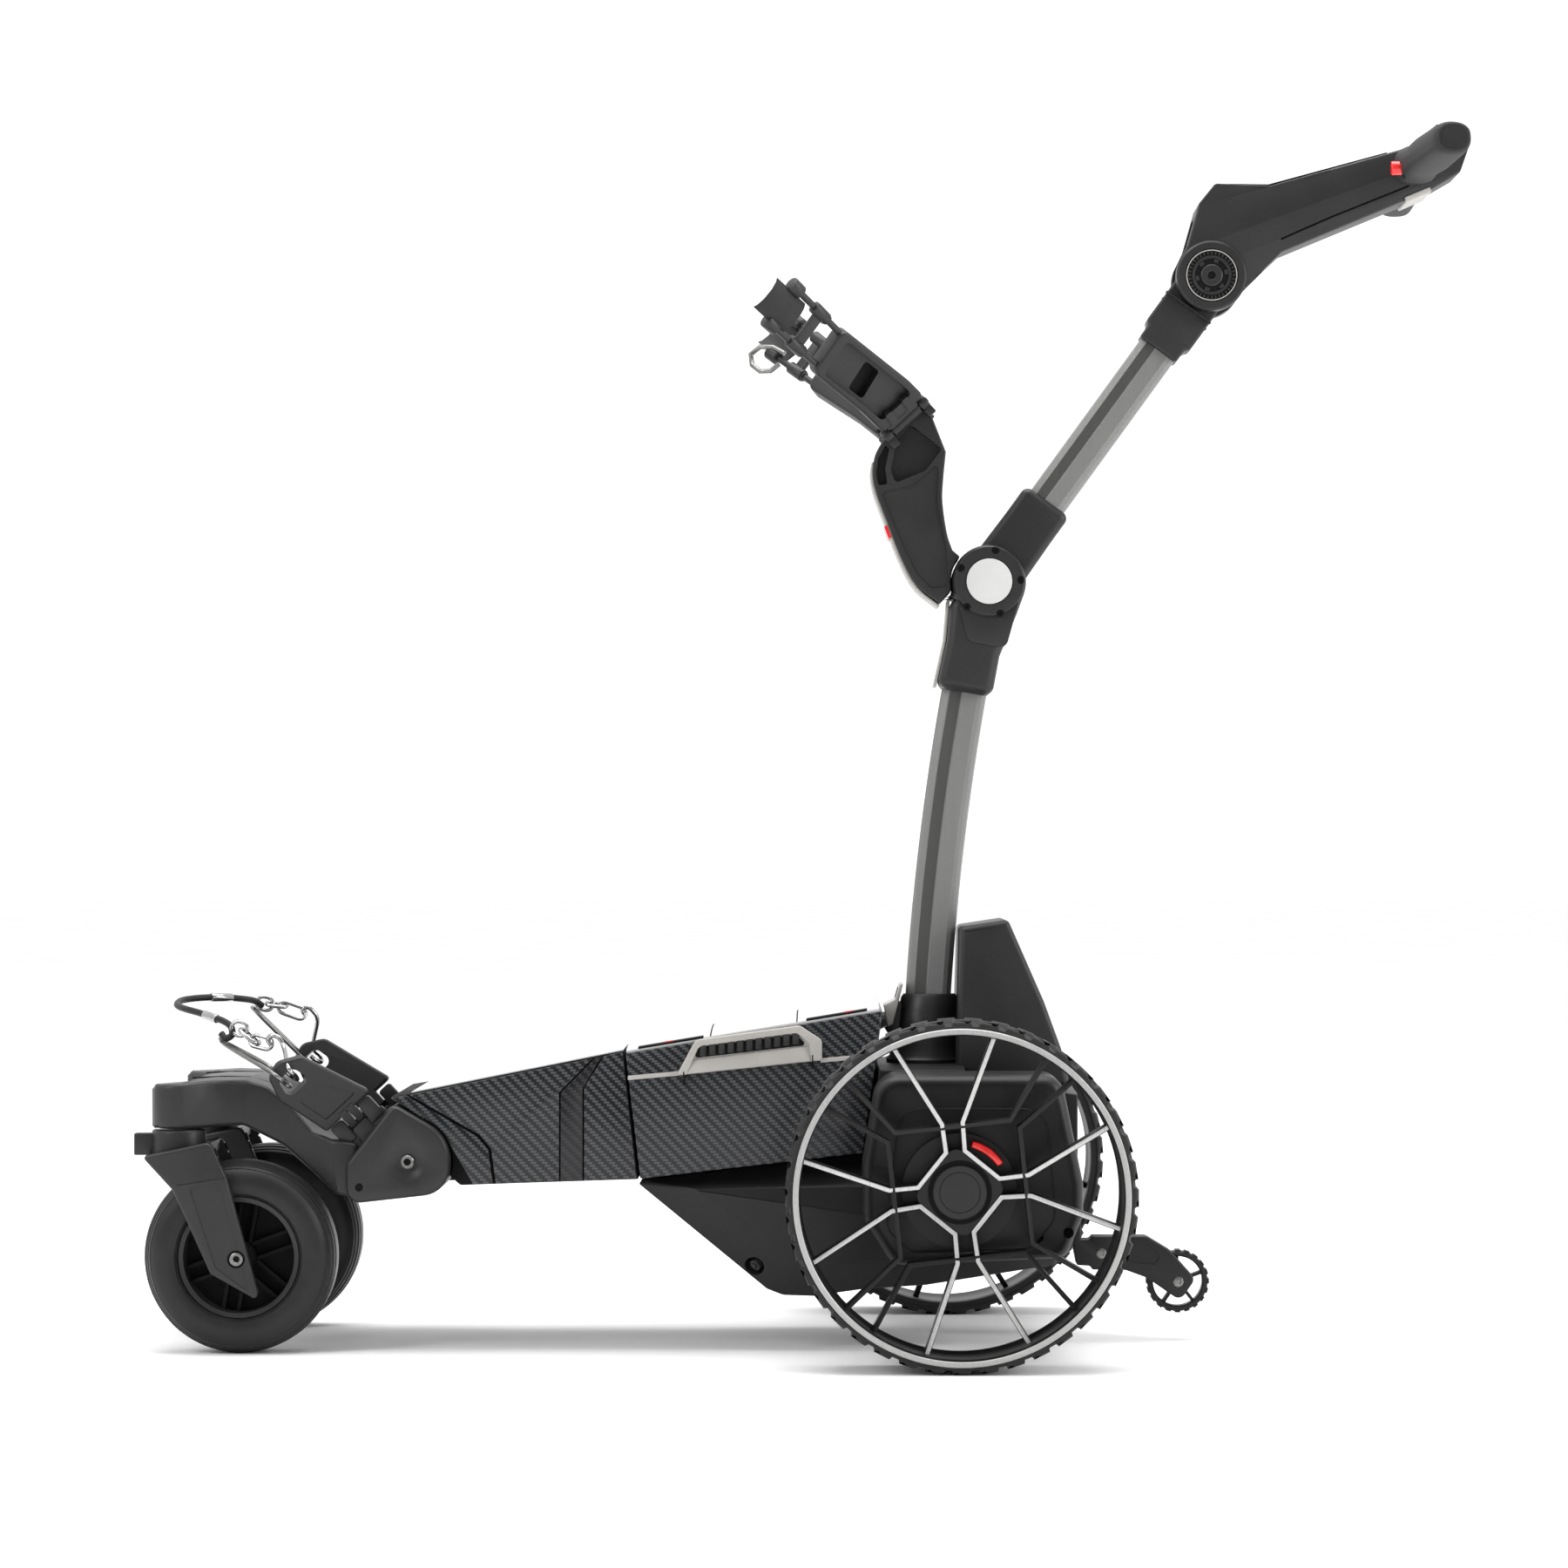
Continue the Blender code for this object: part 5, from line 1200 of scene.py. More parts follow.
# Painted shade: thin near-black lines on the yoke's top stand for the shade in its creases.
bm = bmesh.new()
groove = [(-662, 231.0), (-636, 232.1), (-612, 231.6), (-594, 226.8)]
for side in (-1, 1):
    slab(bm, band(groove, 1.2), side * 46, side * 47.2)
hand_over(bm, "yoke_crease_shade_lines", BLACK_AND_RECESS_SHADE, "front_arm", ())
print("yoke carries casters at", CASTER)

# %% [markdown]
# Each bag paddle hangs on a slanting hinge line. It is drawn flat, x along the hinge and z
# away from it, and then turned to its lean and its spread.

# %% Bag paddles and their knuckles
LEAN = 43.0
PADDLE_HINGE = (-517.0, 100.0, 201.0)
PADDLE_SPREAD = {"left": 25.0, "right": 6.0}


def hinge_place(hinge, side, spread):
    """From a leaf drawn flat at the origin to its place on a slanting hinge line."""
    return (Matrix.Translation((hinge[0], side * hinge[1], hinge[2]))
            @ Matrix.Rotation(math.radians(-LEAN), 4, "Y")
            @ Matrix.Rotation(math.radians(-side * spread), 4, "X"))


for side_name, side in SIDES:
    place = hinge_place(PADDLE_HINGE, side, PADDLE_SPREAD[side_name])
    bm = bmesh.new()
    slab(bm, rounded([(-25, 7, 3), (-34, 58, 11), (-27, 80, 10), (-12, 84.5, 10),
                      (6, 74, 8), (26, 7, 3)], 0, 6), -4.4, 4.4)
    soften(bm, 2.4, 4, 50)
    for cut_outline, low, high in (
            ([(-27, 54, 6), (-2, 54, 6), (-6, 73, 6), (-23, 73, 6)], -9, 9),
            ([(-18, 16, 2), (-23, 46, 3), (0, 46, 3), (17, 16, 2)], side * 3.2, side * 9)):
        tool = bmesh.new()
        slab(tool, rounded(cut_outline), low, high)
        bm = carve(bm, tool)
    for near, far in ((-7.6, -0.7), (0.7, 7.6)):
        slab(bm, rounded([(near, -5, 1), (far, -5, 1), (far, 12, 1), (near, 12, 1)]), -5.2, 5.2)
    move(bm, place)
    hand_over(bm, f"bag_paddle_{side_name}", HOUSING, f"paddle_{side_name}",
              [f"cradle_paddle_{side_name}"], 40)
    seat = hinge_place(PADDLE_HINGE, side, 0)
    bm = bmesh.new()
    for near, far in ((-22, -9), (9, 22)):
        slab(bm, rounded([(near, -16, 1.5), (far, -16, 1.5), (far, 5, 3), (near, 5, 3)]),
             -4.9, 4.9)
        slab(bm, rounded([(near, -31, 1.5), (far, -31, 1.5), (far, -17.4, 1.5),
                          (near, -17.4, 1.5)]), -5.2, 5.2)
    slab(bm, [(-24, -31), (26, -31), (24, -10), (-24, -10)], -3.6, 3.6)
    slab(bm, rounded([(-7.8, -31, 1.5), (7.8, -31, 1.5), (7.8, -8.4, 1.5),
                      (-7.8, -8.4, 1.5)]), -5.0, 5.0)
    soften(bm, 0.9, 2, 40)
    move(bm, seat)
    hand_over(bm, f"paddle_knuckles_{side_name}", HOUSING, "front_arm", (), 40)
# Painted shade: a near-black sheet behind the hinge knuckles fills the gaps between them, which
# stand in shade.
for side_name, side in SIDES:
    bm = bmesh.new()
    slab(bm, [(-21, -16), (21, -16), (21, -3.6), (-21, -3.6)], -2.4, 2.4)
    move(bm, hinge_place(PADDLE_HINGE, side, 0))
    hand_over(bm, f"knuckle_gap_shade_{side_name}", BLACK_AND_RECESS_SHADE, "front_arm", ())
print("hinge line leans", LEAN, "degrees")

# %% [markdown]
# The strap is a short elastic cord, crimped in silver ferrules and clipped on by a wire loop,
# chain links and a hook on each side. Its curve is laid through a few given knots. The cord
# rides on the front arm and its hardware on the paddles, so they meet only at rest.

# %% Strap cord and hardware
KNOTS = [(-632, -86, 271), (-628, -89, 267), (-622.5, -89, 270), (-624, -85, 277),
         (-632.5, -76, 281.8), (-643.8, -65, 284.4), (-655, -54, 287.6), (-670, -36, 290.5),
         (-679, -16, 292.5), (-681.5, 4, 294.5), (-679, 22, 296.3), (-667, 38, 297.6),
         (-650, 50, 297.8), (-634, 66, 296), (-624, 84, 293.5), (-618, 92, 289)]


def through(knots, per_span=10, closed=False):
    """A smooth curve through given knots."""
    knots = [Vector(k) for k in knots]
    if closed:
        ends = [knots[-1]] + knots + knots[:2]
    else:
        ends = [knots[0] * 2 - knots[1]] + knots + [knots[-1] * 2 - knots[-2]]
    route = []
    for a, b, c, d in zip(ends, ends[1:], ends[2:], ends[3:]):
        for step in range(per_span):
            t = step / per_span
            route.append(0.5 * (2 * b + (c - a) * t + (2 * a - 5 * b + 4 * c - d) * t ** 2
                                + (3 * b - a - 3 * c + d) * t ** 3))
    return route if closed else route + [knots[-1]]


def tube(bm, route, radius, sides=12, closed=False):
    """A round wire along a route of points, capped unless it is a loop."""
    route = [Vector(p) for p in route]
    count = len(route)
    normal = (route[1] - route[0]).orthogonal().normalized()
    loops = []
    for index, point in enumerate(route):
        before = route[index - 1] if closed or index else point
        after = route[(index + 1) % count] if closed or index < count - 1 else point
        along = (after - before).normalized()
        normal = (normal - along * normal.dot(along)).normalized()
        across = along.cross(normal)
        loops.append([point + normal * (radius * math.cos(math.tau * k / sides))
                      + across * (radius * math.sin(math.tau * k / sides))
                      for k in range(sides)])
    skin_over(bm, loops, closed)


bm = bmesh.new()
tube(bm, through(KNOTS), 2.9, 16)
hand_over(bm, "strap_cord", CORD, "front_arm", ["bag_strap"], 60)
bm = bmesh.new()
for first, last in (((-637.5, -70.8, 283.0), (-650.0, -59.2, 286.2)),
                    ((-658.0, 44.6, 298.0), (-641.0, 58.6, 297.2))):
    rod(bm, first, last, 3.8, 24)
soften(bm, 0.6, 2, 50)
hand_over(bm, "strap_ferrules", CHROME, "front_arm", (), 40)


def oval(centre, along, across, length, width):
    """The middle line of a stretched ring."""
    along, across = Vector(along).normalized(), Vector(across)
    across = (across - along * across.dot(along)).normalized()
    straight = (length - width) / 2
    points = []
    for start, sign in ((-90, 1), (90, -1)):
        for step in range(9):
            t = math.radians(start + 180 * step / 8)
            points.append(Vector(centre) + along * (sign * straight + width / 2 * math.cos(t))
                          + across * (width / 2 * math.sin(t)))
    return points


LOOP_TIPS = {"left": (-632, -86, 266), "right": (-626, 94, 287)}
CHAINS = {
    "left": (((-616, -90, 275.5), (1, -0.3, -0.3), (0, 0.2, 1), 15, 12, 1.7),
             ((-606.5, -94, 269), (9, -4, -7), (0, 1, 0.3), 21, 11, 1.7),
             ((-596, -98.5, 264), (9, -4, -2), (0, 0.3, 1), 22, 10, 1.6)),
    "right": (((-615.5, 94, 290.6), (1, 0.2, -0.2), (0, 0.2, 1), 15, 12, 1.7),
              ((-605.5, 97, 289.5), (9, 2, -1), (0, 1, 0.3), 19, 10, 1.6),
              ((-592, 101, 284.2), (12, 3, -4.5), (0, 0.3, 1), 26, 11, 1.7)),
}
HOOKS = {
    "left": [(-587, -103, 262), (-590, -102, 266.5), (-586.5, -103, 270), (-580, -105, 268),
             (-575, -110, 259)],
    "right": [(-580, 106, 279.5), (-583, 105, 284), (-579, 105.5, 287), (-573.5, 107, 283),
              (-570, 110, 274)],
}
for side_name, side in SIDES:
    place = hinge_place(PADDLE_HINGE, side, PADDLE_SPREAD[side_name])
    tip = Vector(LOOP_TIPS[side_name])
    end = place.inverted() @ tip
    ring = [place @ Vector(p) for p in (
        (-19, 0, 61), (-19, 6.5, 63), (-19.5, 8.8, 68), (-20.5, 9, 84),
        (end.x, end.y + 5, end.z - 6), (end.x, end.y, end.z), (end.x, end.y - 5, end.z - 6),
        (-20.5, -9, 84), (-19.5, -8.8, 68), (-19, -6.5, 63))]
    bm = bmesh.new()
    tube(bm, through(ring, 6, True), 1.7, 12, True)
    hand_over(bm, f"strap_loop_{side_name}", STEEL, f"paddle_{side_name}",
              [f"strap_link_{side_name}"], 60)
    bm = bmesh.new()
    for centre, along, across, length, width, wire in CHAINS[side_name]:
        tube(bm, oval(centre, along, across, length, width), wire, 12, True)
    slot = [place @ Vector(p) for p in ((-8, side * 8, 77), (-9, side * 6, 66), (-11, 0, 60.5),
                                        (-13, -side * 6, 64), (-13.5, -side * 8, 70))]
    tube(bm, through(HOOKS[side_name] + slot, 6), 2.0, 14)
    hand_over(bm, f"strap_chain_{side_name}", CHROME, f"paddle_{side_name}", (),
              60)
print("strap curve has", len(through(KNOTS)), "points")

# %% [markdown]
# ## Casters
# Each caster is a leaning two-legged fork on a swivel ring, with pocket ribs on the back of
# its legs, around a smooth tyre on a spoked rim.

# %% Caster forks
LEG = rounded([(-691, 169, 2), (-633, 181.7, 7), (-619.6, 151.5), (-592.6, 54, 5),
               (-594.6, 48.3, 4), (-633, 70, 5), (-665, 140.7)], 3, 6)
LOWER_PANEL = rounded([(-651, 143, 3), (-625, 148, 4), (-600.5, 58, 4), (-604, 57, 3),
                       (-628.5, 75, 4)], 2, 5)
for side_name, side in SIDES:
    middle = side * CASTER[1]
    body = f"caster_{side_name}"
    bm = bmesh.new()
    for face in (-1, 1):
        leg = bmesh.new()
        low, high = middle + face * 33, middle + face * 41.9
        slab(leg, LEG, low, high)
        round_rim(leg, high, 2.0, 3)
        tool = bmesh.new()
        slab(tool, band([(-661, 145.2), (-618, 151.8)], 1.1), high - face * 0.9,
             high + face * 5)
        slab(tool, LOWER_PANEL, high - face * 0.8, high + face * 5)
        leg = carve(leg, tool)
        tool = bmesh.new()
        rod(tool, (-611, high - face * 2.2, 82.4), (-611, high + face * 5, 82.4), 7.6, 40)
        leg = carve(leg, tool)
        spare = as_object(leg, "leg")
        bm.from_mesh(spare.data)
        bpy.data.objects.remove(spare)
    slab(bm, [(-689, 168), (-640, 169), (-633.5, 171), (-633.5, 180.5), (-640, 179),
              (-689, 169.8)], middle - 34, middle + 34)
    hand_over(bm, f"fork_legs_{side_name}", FORK_SKIN, body, [f"caster_fork_{side_name}"],
              40)
    bm = bmesh.new()
    turned(bm, [(0.01, 166), (23.2, 166), (23.2, 187.5), (22.2, 190.1), (0.01, 190.1)],
           (CASTER[0], middle, 0), (0, 0, 1), 64)
    slab(bm, rounded([(-702.8, middle - 8.5, 2.5), (-684, middle - 8.5), (-684, middle + 8.5),
                      (-702.8, middle + 8.5, 2.5)]), 168.5, 187, "xy")
    soften(bm, 0.9, 2, 50)
    hand_over(bm, f"swivel_ring_{side_name}", HOUSING, body, (), 40)
    # Painted shade: near-black blocks at the back edge of each leg stand for the shade in its rib
    # pockets.
    bm = bmesh.new()
    for face in (-1, 1):
        for z in (157, 165, 173):
            across = -622.5 - (z - 157) * 0.35
            slab(bm, [(across - 4, z - 3), (across + 1.5, z - 3), (across - 1, z + 3),
                      (across - 6.5, z + 3)], middle + face * 33.5, middle + face * 40.4)
    hand_over(bm, f"fork_pocket_shade_{side_name}", BLACK_AND_RECESS_SHADE, body, ())
    bm = bmesh.new()
    for face in (-1, 1):
        high = middle + face * 41.9
        turned(bm, [(2.6, high - face * 3), (5.6, high - face * 3), (5.6, high - face * 0.5),
                    (4.8, high), (3.2, high), (2.6, high - face * 0.6)], (-611, 0, 82.4),
               steps=40)
    rod(bm, (-611, middle - 39, 82.4), (-611, middle + 39, 82.4), 4.0, 24)
    hand_over(bm, f"caster_axle_{side_name}", STEEL, body, ())
    bm = bmesh.new()
    for face in (-1, 1):
        high = middle + face * 41.9
        rod(bm, (-611, high - face * 2.6, 82.4), (-611, high - face * 1.4, 82.4), 2.8, 6)
        turned(bm, [(5.7, high - face * 2.3), (7.5, high - face * 2.3), (7.5, high - face * 1.9),
                    (5.7, high - face * 1.9)], (-611, 0, 82.4), steps=40)
    hand_over(bm, f"axle_dish_{side_name}", BLACK_AND_RECESS_SHADE, body, ())
print("caster trail is", 665 - 611, "mm")

# %% Caster tyres and rims
for side_name, side in SIDES:
    middle = side * CASTER[1]
    body = f"front_wheel_{side_name}"
    half = [(52.2, 25.2), (54.5, 27.6), (58, 28.8), (63, 28.9), (68, 28.2), (72, 26.4),
            (75.0, 23.6), (75.2, 22.9), (75.9, 22.9), (77.3, 20.4), (77.3, 19.7),
            (78.3, 19.3), (79.5, 16.4), (79.5, 15.6), (80.6, 15.2), (81.5, 11.2),
            (81.5, 10.4), (82.1, 10.2), (82.35, 4)]
    profile = [(r, -w) for r, w in half] + [(r, w) for r, w in half[::-1]]
    bm = bmesh.new()
    turned(bm, [(r, middle + w) for r, w in profile], (-611, 0, 82.4), steps=128)
    hand_over(bm, f"caster_tyre_{side_name}", CASTER_TREAD, body,
              [f"front_tyre_{side_name}"], 24)
    bm = bmesh.new()
    turned(bm, [(46.6, middle - 20), (47.4, middle - 23.4), (51.2, middle - 24.4),
                (52.1, middle - 23.4), (52.1, middle + 23.4), (51.2, middle + 24.4),
                (47.4, middle + 23.4), (46.6, middle + 20)], (-611, 0, 82.4), steps=96)
    hand_over(bm, f"caster_rim_ring_{side_name}", FORK_SKIN, body,
              [f"front_rim_{side_name}"], 30)
    # The hub, spokes and the web that fills the rim are near-black: partly the wheel's own dark
    # plastic, partly painted shade where the web closes the rim's shaded openings.
    bm = bmesh.new()
    turned(bm, [(4.5, middle - 26), (12, middle - 26), (14, middle - 20), (14, middle + 20),
                (12, middle + 26), (4.5, middle + 26)], (-611, 0, 82.4), steps=48)
    for index in range(3):
        for shift in (-6.5, 6.5):
            strip = slab(bm, band([on_arm(60 * index + 20, 48, shift),
                                   on_arm(60 * index + 200, 48, -shift)], 3.0),
                         middle - 13, middle + 13)
            move(bm, Matrix.Translation((-611, 0, 82.4)), strip)
    turned(bm, [(14, middle - 3), (47, middle - 3), (47, middle + 3), (14, middle + 3)],
           (-611, 0, 82.4), steps=48)
    hand_over(bm, f"caster_spokes_{side_name}", BLACK_AND_RECESS_SHADE, body, (), 30)
print("caster tyre is", 2 * 82.4, "mm across")


# %% [markdown]
# ## Upper cradle
# Each cradle arm is a moulded frame with a dished face and a window. Two dark rods stand out
# of its end, tied by sleeves, and a bent plate lies across their tips.

# %% Cradle arms
CRADLE_HINGE = (-42.0, 34.0, 805.0)
CRADLE_SPREAD = 35.0
FRAME = [(-23, 9, 5), (25, 9, 5), (23.5, 30, 20), (9, 114, 8), (-35.5, 102.5, 8),
         (-25.5, 40, 30)]
DISH = [(-17, 20, 4), (18, 20, 4), (16.5, 34, 10), (5, 103, 4), (-29, 94.5, 4), (-19.5, 40, 20)]
WINDOW = [(-17.5, 46, 3), (9.5, 55, 3), (6.5, 72, 3), (-20.5, 64, 3)]
RODS = (((5.3, 103), (0.8, 171)), ((-27.5, 97), (-35.1, 162)))
for side_name, side in SIDES:
    place = hinge_place(CRADLE_HINGE, side, CRADLE_SPREAD)
    body = f"cradle_{side_name}"
    bm = bmesh.new()
    slab(bm, rounded(FRAME, 0, 6), -8.8, 8.8)
    soften(bm, 2.4, 4, 50)
    tool = bmesh.new()
    slab(tool, rounded(DISH), side * 2.0, side * 12)
    bm = carve(bm, tool)
    tool = bmesh.new()
    slab(tool, rounded(WINDOW), side * -5.5, side * 12)
    bm = carve(bm, tool)
    for across in (-9, 10):
        slab(bm, rounded([(across - 3.4, 10, 1.5), (across + 3.4, 10, 1.5),
                          (across + 3.4, 22, 1.5), (across - 3.4, 22, 1.5)]),
             side * 3, side * 10.4)
    for across, reach in ((1.5, 101), (-24.5, 93.5)):
        rod(bm, (across, side * 2, reach - 2), (across, side * 3.6, reach - 2), 1.5, 12)
    rod(bm, (-15.3, 0, 0), (15.3, 0, 0), 6.2, 32)
    slab(bm, rounded([(-15.3, 2, 1), (15.3, 2, 1), (15.3, 14, 1), (-15.3, 14, 1)]), -4.6, 4.6)
    move(bm, place)
    hand_over(bm, f"cradle_frame_{side_name}", HOUSING, body, [f"cradle_arm_{side_name}"],
              40)
    # Painted shade: a near-black sheet on the floor of the window pocket stands for the shade
    # inside it.
    bm = bmesh.new()
    slab(bm, rounded([(-19.5, 44.5, 3), (10.5, 54, 3), (7, 73.5, 3), (-22.5, 65, 3)]),
         side * -6.4, side * -5.2)
    move(bm, place)
    hand_over(bm, f"cradle_window_shade_{side_name}", BLACK_AND_RECESS_SHADE, body, ())
    bm = bmesh.new()
    for start, stop in RODS:
        rod(bm, (start[0], side * 2.5, start[1]), (stop[0], side * 2.5, stop[1]), 3.0, 20)
    rod(bm, (-26, 0, 0), (26, 0, 0), 2.5, 20)
    move(bm, place)
    hand_over(bm, f"cradle_rods_{side_name}", FORK_SKIN, body, (), 40)
    bm = bmesh.new()
    ties = []
    for start, stop in RODS:
        start, stop = (Vector((p[0], side * 2.5, p[1])) for p in (start, stop))
        middle = start.lerp(stop, 0.52)
        way = (stop - start).normalized()
        rod(bm, middle - way * 9, middle + way * 9, 5.6, 24)
        rod(bm, middle - way * 11, middle - way * 9, 4.6, 24)
        rod(bm, stop - way * 5, stop + way * 8, 6.6, 28)
        ties.append(middle)
    wide = [tuple(ties[0].xz + Vector((0, 5))), tuple(ties[1].xz + Vector((0, 5))),
            tuple(ties[1].xz - Vector((0, 5))), tuple(ties[0].xz - Vector((0, 5)))]
    slab(bm, wide, side * 0.4, side * 4.8)
    soften(bm, 0.8, 2, 50)
    move(bm, place)
    hand_over(bm, f"cradle_sleeves_{side_name}", FORK_SKIN, body, (), 40)
    bm = bmesh.new()
    bend = [(-35, 3.0), (-31.5, 6.4), (-24, 9.0), (-14, 9.2), (-7, 7.0), (-3.5, 3.6)]
    plate = slab(bm, [(u, side * v) for u, v in bend]
                 + [(u, side * (v - 2.2)) for u, v in bend[::-1]], 152, 190, "xy")
    for corner in plate:
        corner.co.x -= 0.10 * (corner.co.z - 170)
        corner.co.z += 0.17 * (corner.co.x + 20)
    soften(bm, 0.7, 2, 50)
    move(bm, place)
    hand_over(bm, f"cradle_strap_plate_{side_name}", GRIP, body, (), 40)
bm = bmesh.new()
tube(bm, [hinge_place(CRADLE_HINGE, 1, CRADLE_SPREAD) @ Vector((u, -3.0, w)) for u, w in (
    (-28, 152), (-31, 166), (-39, 177), (-50, 178), (-56, 168), (-55, 156), (-48, 148),
    (-38, 147))], 2.4, 14)
hand_over(bm, "cradle_wire_loop", STEEL, "cradle_right", (), 60)
print("cradle spread", CRADLE_SPREAD, "degrees a side")

# %% [markdown]
# ## Anti-tip roller
# A short arm behind the body, ending in a small rubber roller, stops the trolley tipping
# backwards on a steep bank.

# %% Bracket, arm and roller
ROLLER = (197.0, 51.4)
bm = bmesh.new()
slab(bm, [(104.6, 121.6), (112, 121.6), (112, 88), (120, 88), (122, 91), (142.6, 91),
          (142.6, 61.6), (122, 61.6), (120, 65), (108.4, 65.6), (104.6, 84)], -12.9, 12.9)
soften(bm, 1.6, 3, 30)
hand_over(bm, "anti_tip_bracket", HULL_SKIN, "chassis", ["anti_tip_bar"], 40)
bm = bmesh.new()
slab(bm, rounded([(143.2, 89.6), (158, 91.0, 5), (169.6, 91.0, 10), (190.5, 78.3, 22),
                  (212.4, 53.7, 7), (199, 34.4, 7), (169.6, 54.6, 8), (152, 61.0, 6),
                  (143.2, 62.4)], 0, 7), -12.8, 12.8)
soften(bm, 2.0, 3, 40)
tool = bmesh.new()
slab(tool, arc(ROLLER, 29.4, 0, 354, 59), -8.6, 8.6)
for side in (-1, 1):
    slab(tool, rounded([(153, 84.5, 4), (170, 84.5, 6), (183, 75, 6), (176, 66, 4),
                        (153, 69, 4)]), side * 12.0, side * 16)
bm = carve(bm, tool)
hand_over(bm, "anti_tip_leg", HULL_SKIN, "chassis", ["anti_tip_arm"], 40)
bm = bmesh.new()
for side in (-1, 1):
    for x, z in ((129.8, 76.0), ROLLER):
        turned(bm, [(2.1, 12.6 * side), (4.6, 12.6 * side), (4.6, 13.2 * side),
                    (3.9, 13.55 * side), (2.6, 13.55 * side), (2.1, 13.1 * side)],
               (x, 0, z), steps=32)
        rod(bm, (x, side * 12.4, z), (x, side * 13.0, z), 2.2, 6)
rod(bm, (ROLLER[0], -12.6, ROLLER[1]), (ROLLER[0], 12.6, ROLLER[1]), 3.6, 24)
hand_over(bm, "anti_tip_screws", STEEL, "chassis", (), 40)
bm = bmesh.new()
turned(bm, [(21.6, -6.4), (22.6, -7.4), (25.2, -7.4), (26.4, -6.0), (26.4, 6.0), (25.2, 7.4),
            (22.6, 7.4), (21.6, 6.4)], (ROLLER[0], 0, ROLLER[1]), steps=96)
turned(bm, [(4.2, -7.0), (11, -7.0), (12, -6), (12, 6), (11, 7.0), (4.2, 7.0)],
       (ROLLER[0], 0, ROLLER[1]), steps=48)
for index in range(20):
    start, stop = on_arm(18 * index, 25.6, 0), on_arm(18 * index, 27.5, 0)
    slab(bm, [(ROLLER[0] + u, ROLLER[1] + v) for u, v in band([start, stop], 4.6)], -7.2, 7.2)
for index in range(5):
    start, stop = on_arm(72 * index + 20, 11.4, 0), on_arm(72 * index + 20, 22.2, 0)
    slab(bm, [(ROLLER[0] + u, ROLLER[1] + v) for u, v in band([start, stop], 3.0)], -5, 5)
hand_over(bm, "anti_tip_roller", CASTER_TREAD, "anti_tip_roller_body", ["anti_tip_wheel"],
          30)
print("roller clears the ground by", round(ROLLER[1] - 27.5, 1), "mm")

# %% [markdown]
# ## Upper mast
# The upper tube is held between two moulded sleeves. Everything here is drawn along the
# tube's own line, as distance from the mast joint and height across it, and then turned.

# %% Upper sleeve, tube and handle sleeve
TILT = 54.0


def upright(points):
    """Points (along the upper mast, across it) placed on the side view."""
    return around(PIVOT, TILT, points)


bm = bmesh.new()
slab(bm, upright(arc((0, 0), 31, 52, 308, 40) + [(60, -23.6), (88.4, -23.6), (88.4, 23.6),
                                                 (60, 23.6)]), -20.3, 20.3)
soften(bm, 7.0, 6, 40)
tool = bmesh.new()
for across in (-1, 1):
    slab(tool, upright([(70.4, across * 22.9), (71.6, across * 22.9), (71.6, across * 30),
                        (70.4, across * 30)]), -40, 40)
bm = carve(bm, tool)
hand_over(bm, "lower_sleeve", HOUSING, "upper_mast", ["upper_sleeve"], 40)

UPPER = both_flanks([(-17.7, 6.0), (-16.4, 9.6), (-12.8, 12.2), (-11.8, 13.6), (-2.6, 14.7),
                     (-1.8, 15.0), (10.4, 15.0), (14.2, 13.6), (16.9, 10.2), (17.8, 5.5)])


def along_mast(section, start, end):
    """Corner points of a section (across the side view, sideways) at two distances."""
    rings = []
    for distance in (start, end):
        places = upright([(distance, -u) for u, _ in section])
        rings.append([(x, v, z) for (x, z), (_, v) in zip(places, section)])
    return rings


def extrusion(bm, section, start, end):
    """A straight length of a section along the upper mast."""
    skin_over(bm, along_mast(section, start, end))


bm = bmesh.new()
extrusion(bm, UPPER, 48, 282)
hand_over(bm, "upper_tube", MAST_COAT, "upper_mast", ["upper_mast_tube"], 12)
# Painted shade: the same darker strip on the upper tube's leaning facet.
for side_name, side in SIDES:
    bm = bmesh.new()
    extrusion(bm, [(-11.6, side * 13.75), (-2.8, side * 14.8), (-2.8, side * 14.2),
                   (-11.6, side * 13.1)], 86, 256)
    hand_over(bm, f"upper_tube_band_{side_name}", FACET_SHADE_AND_LINE_COAT, "upper_mast", (), 20)
bm = bmesh.new()
slab(bm, upright([(252, -19.5), (265, -19.5), (268, -23.2), (322, -23.2)]
                 + arc((329.8, 0), 29, -54, 54, 24)
                 + [(322, 23.2), (268, 23.2), (265, 19.5), (252, 19.5)]), -20.4, 20.4)
soften(bm, 2.6, 4, 30)
tool = bmesh.new()
for side in (-1, 1):
    slab(tool, upright([(296, -24), (297.2, -24), (297.2, 24), (296, 24)]),
         side * 19.6, side * 30)
bm = carve(bm, tool)
hand_over(bm, "top_sleeve", HOUSING, "upper_mast", ["handle_sleeve"], 40)
print("upper tube shows for", 252 - 88, "mm")

# %% [markdown]
# ## Handle
# The tilt knob clamps the handle to the top sleeve. It is a turned boss with radial
# serrations, an inner ring with teeth, and a bolt in the middle.

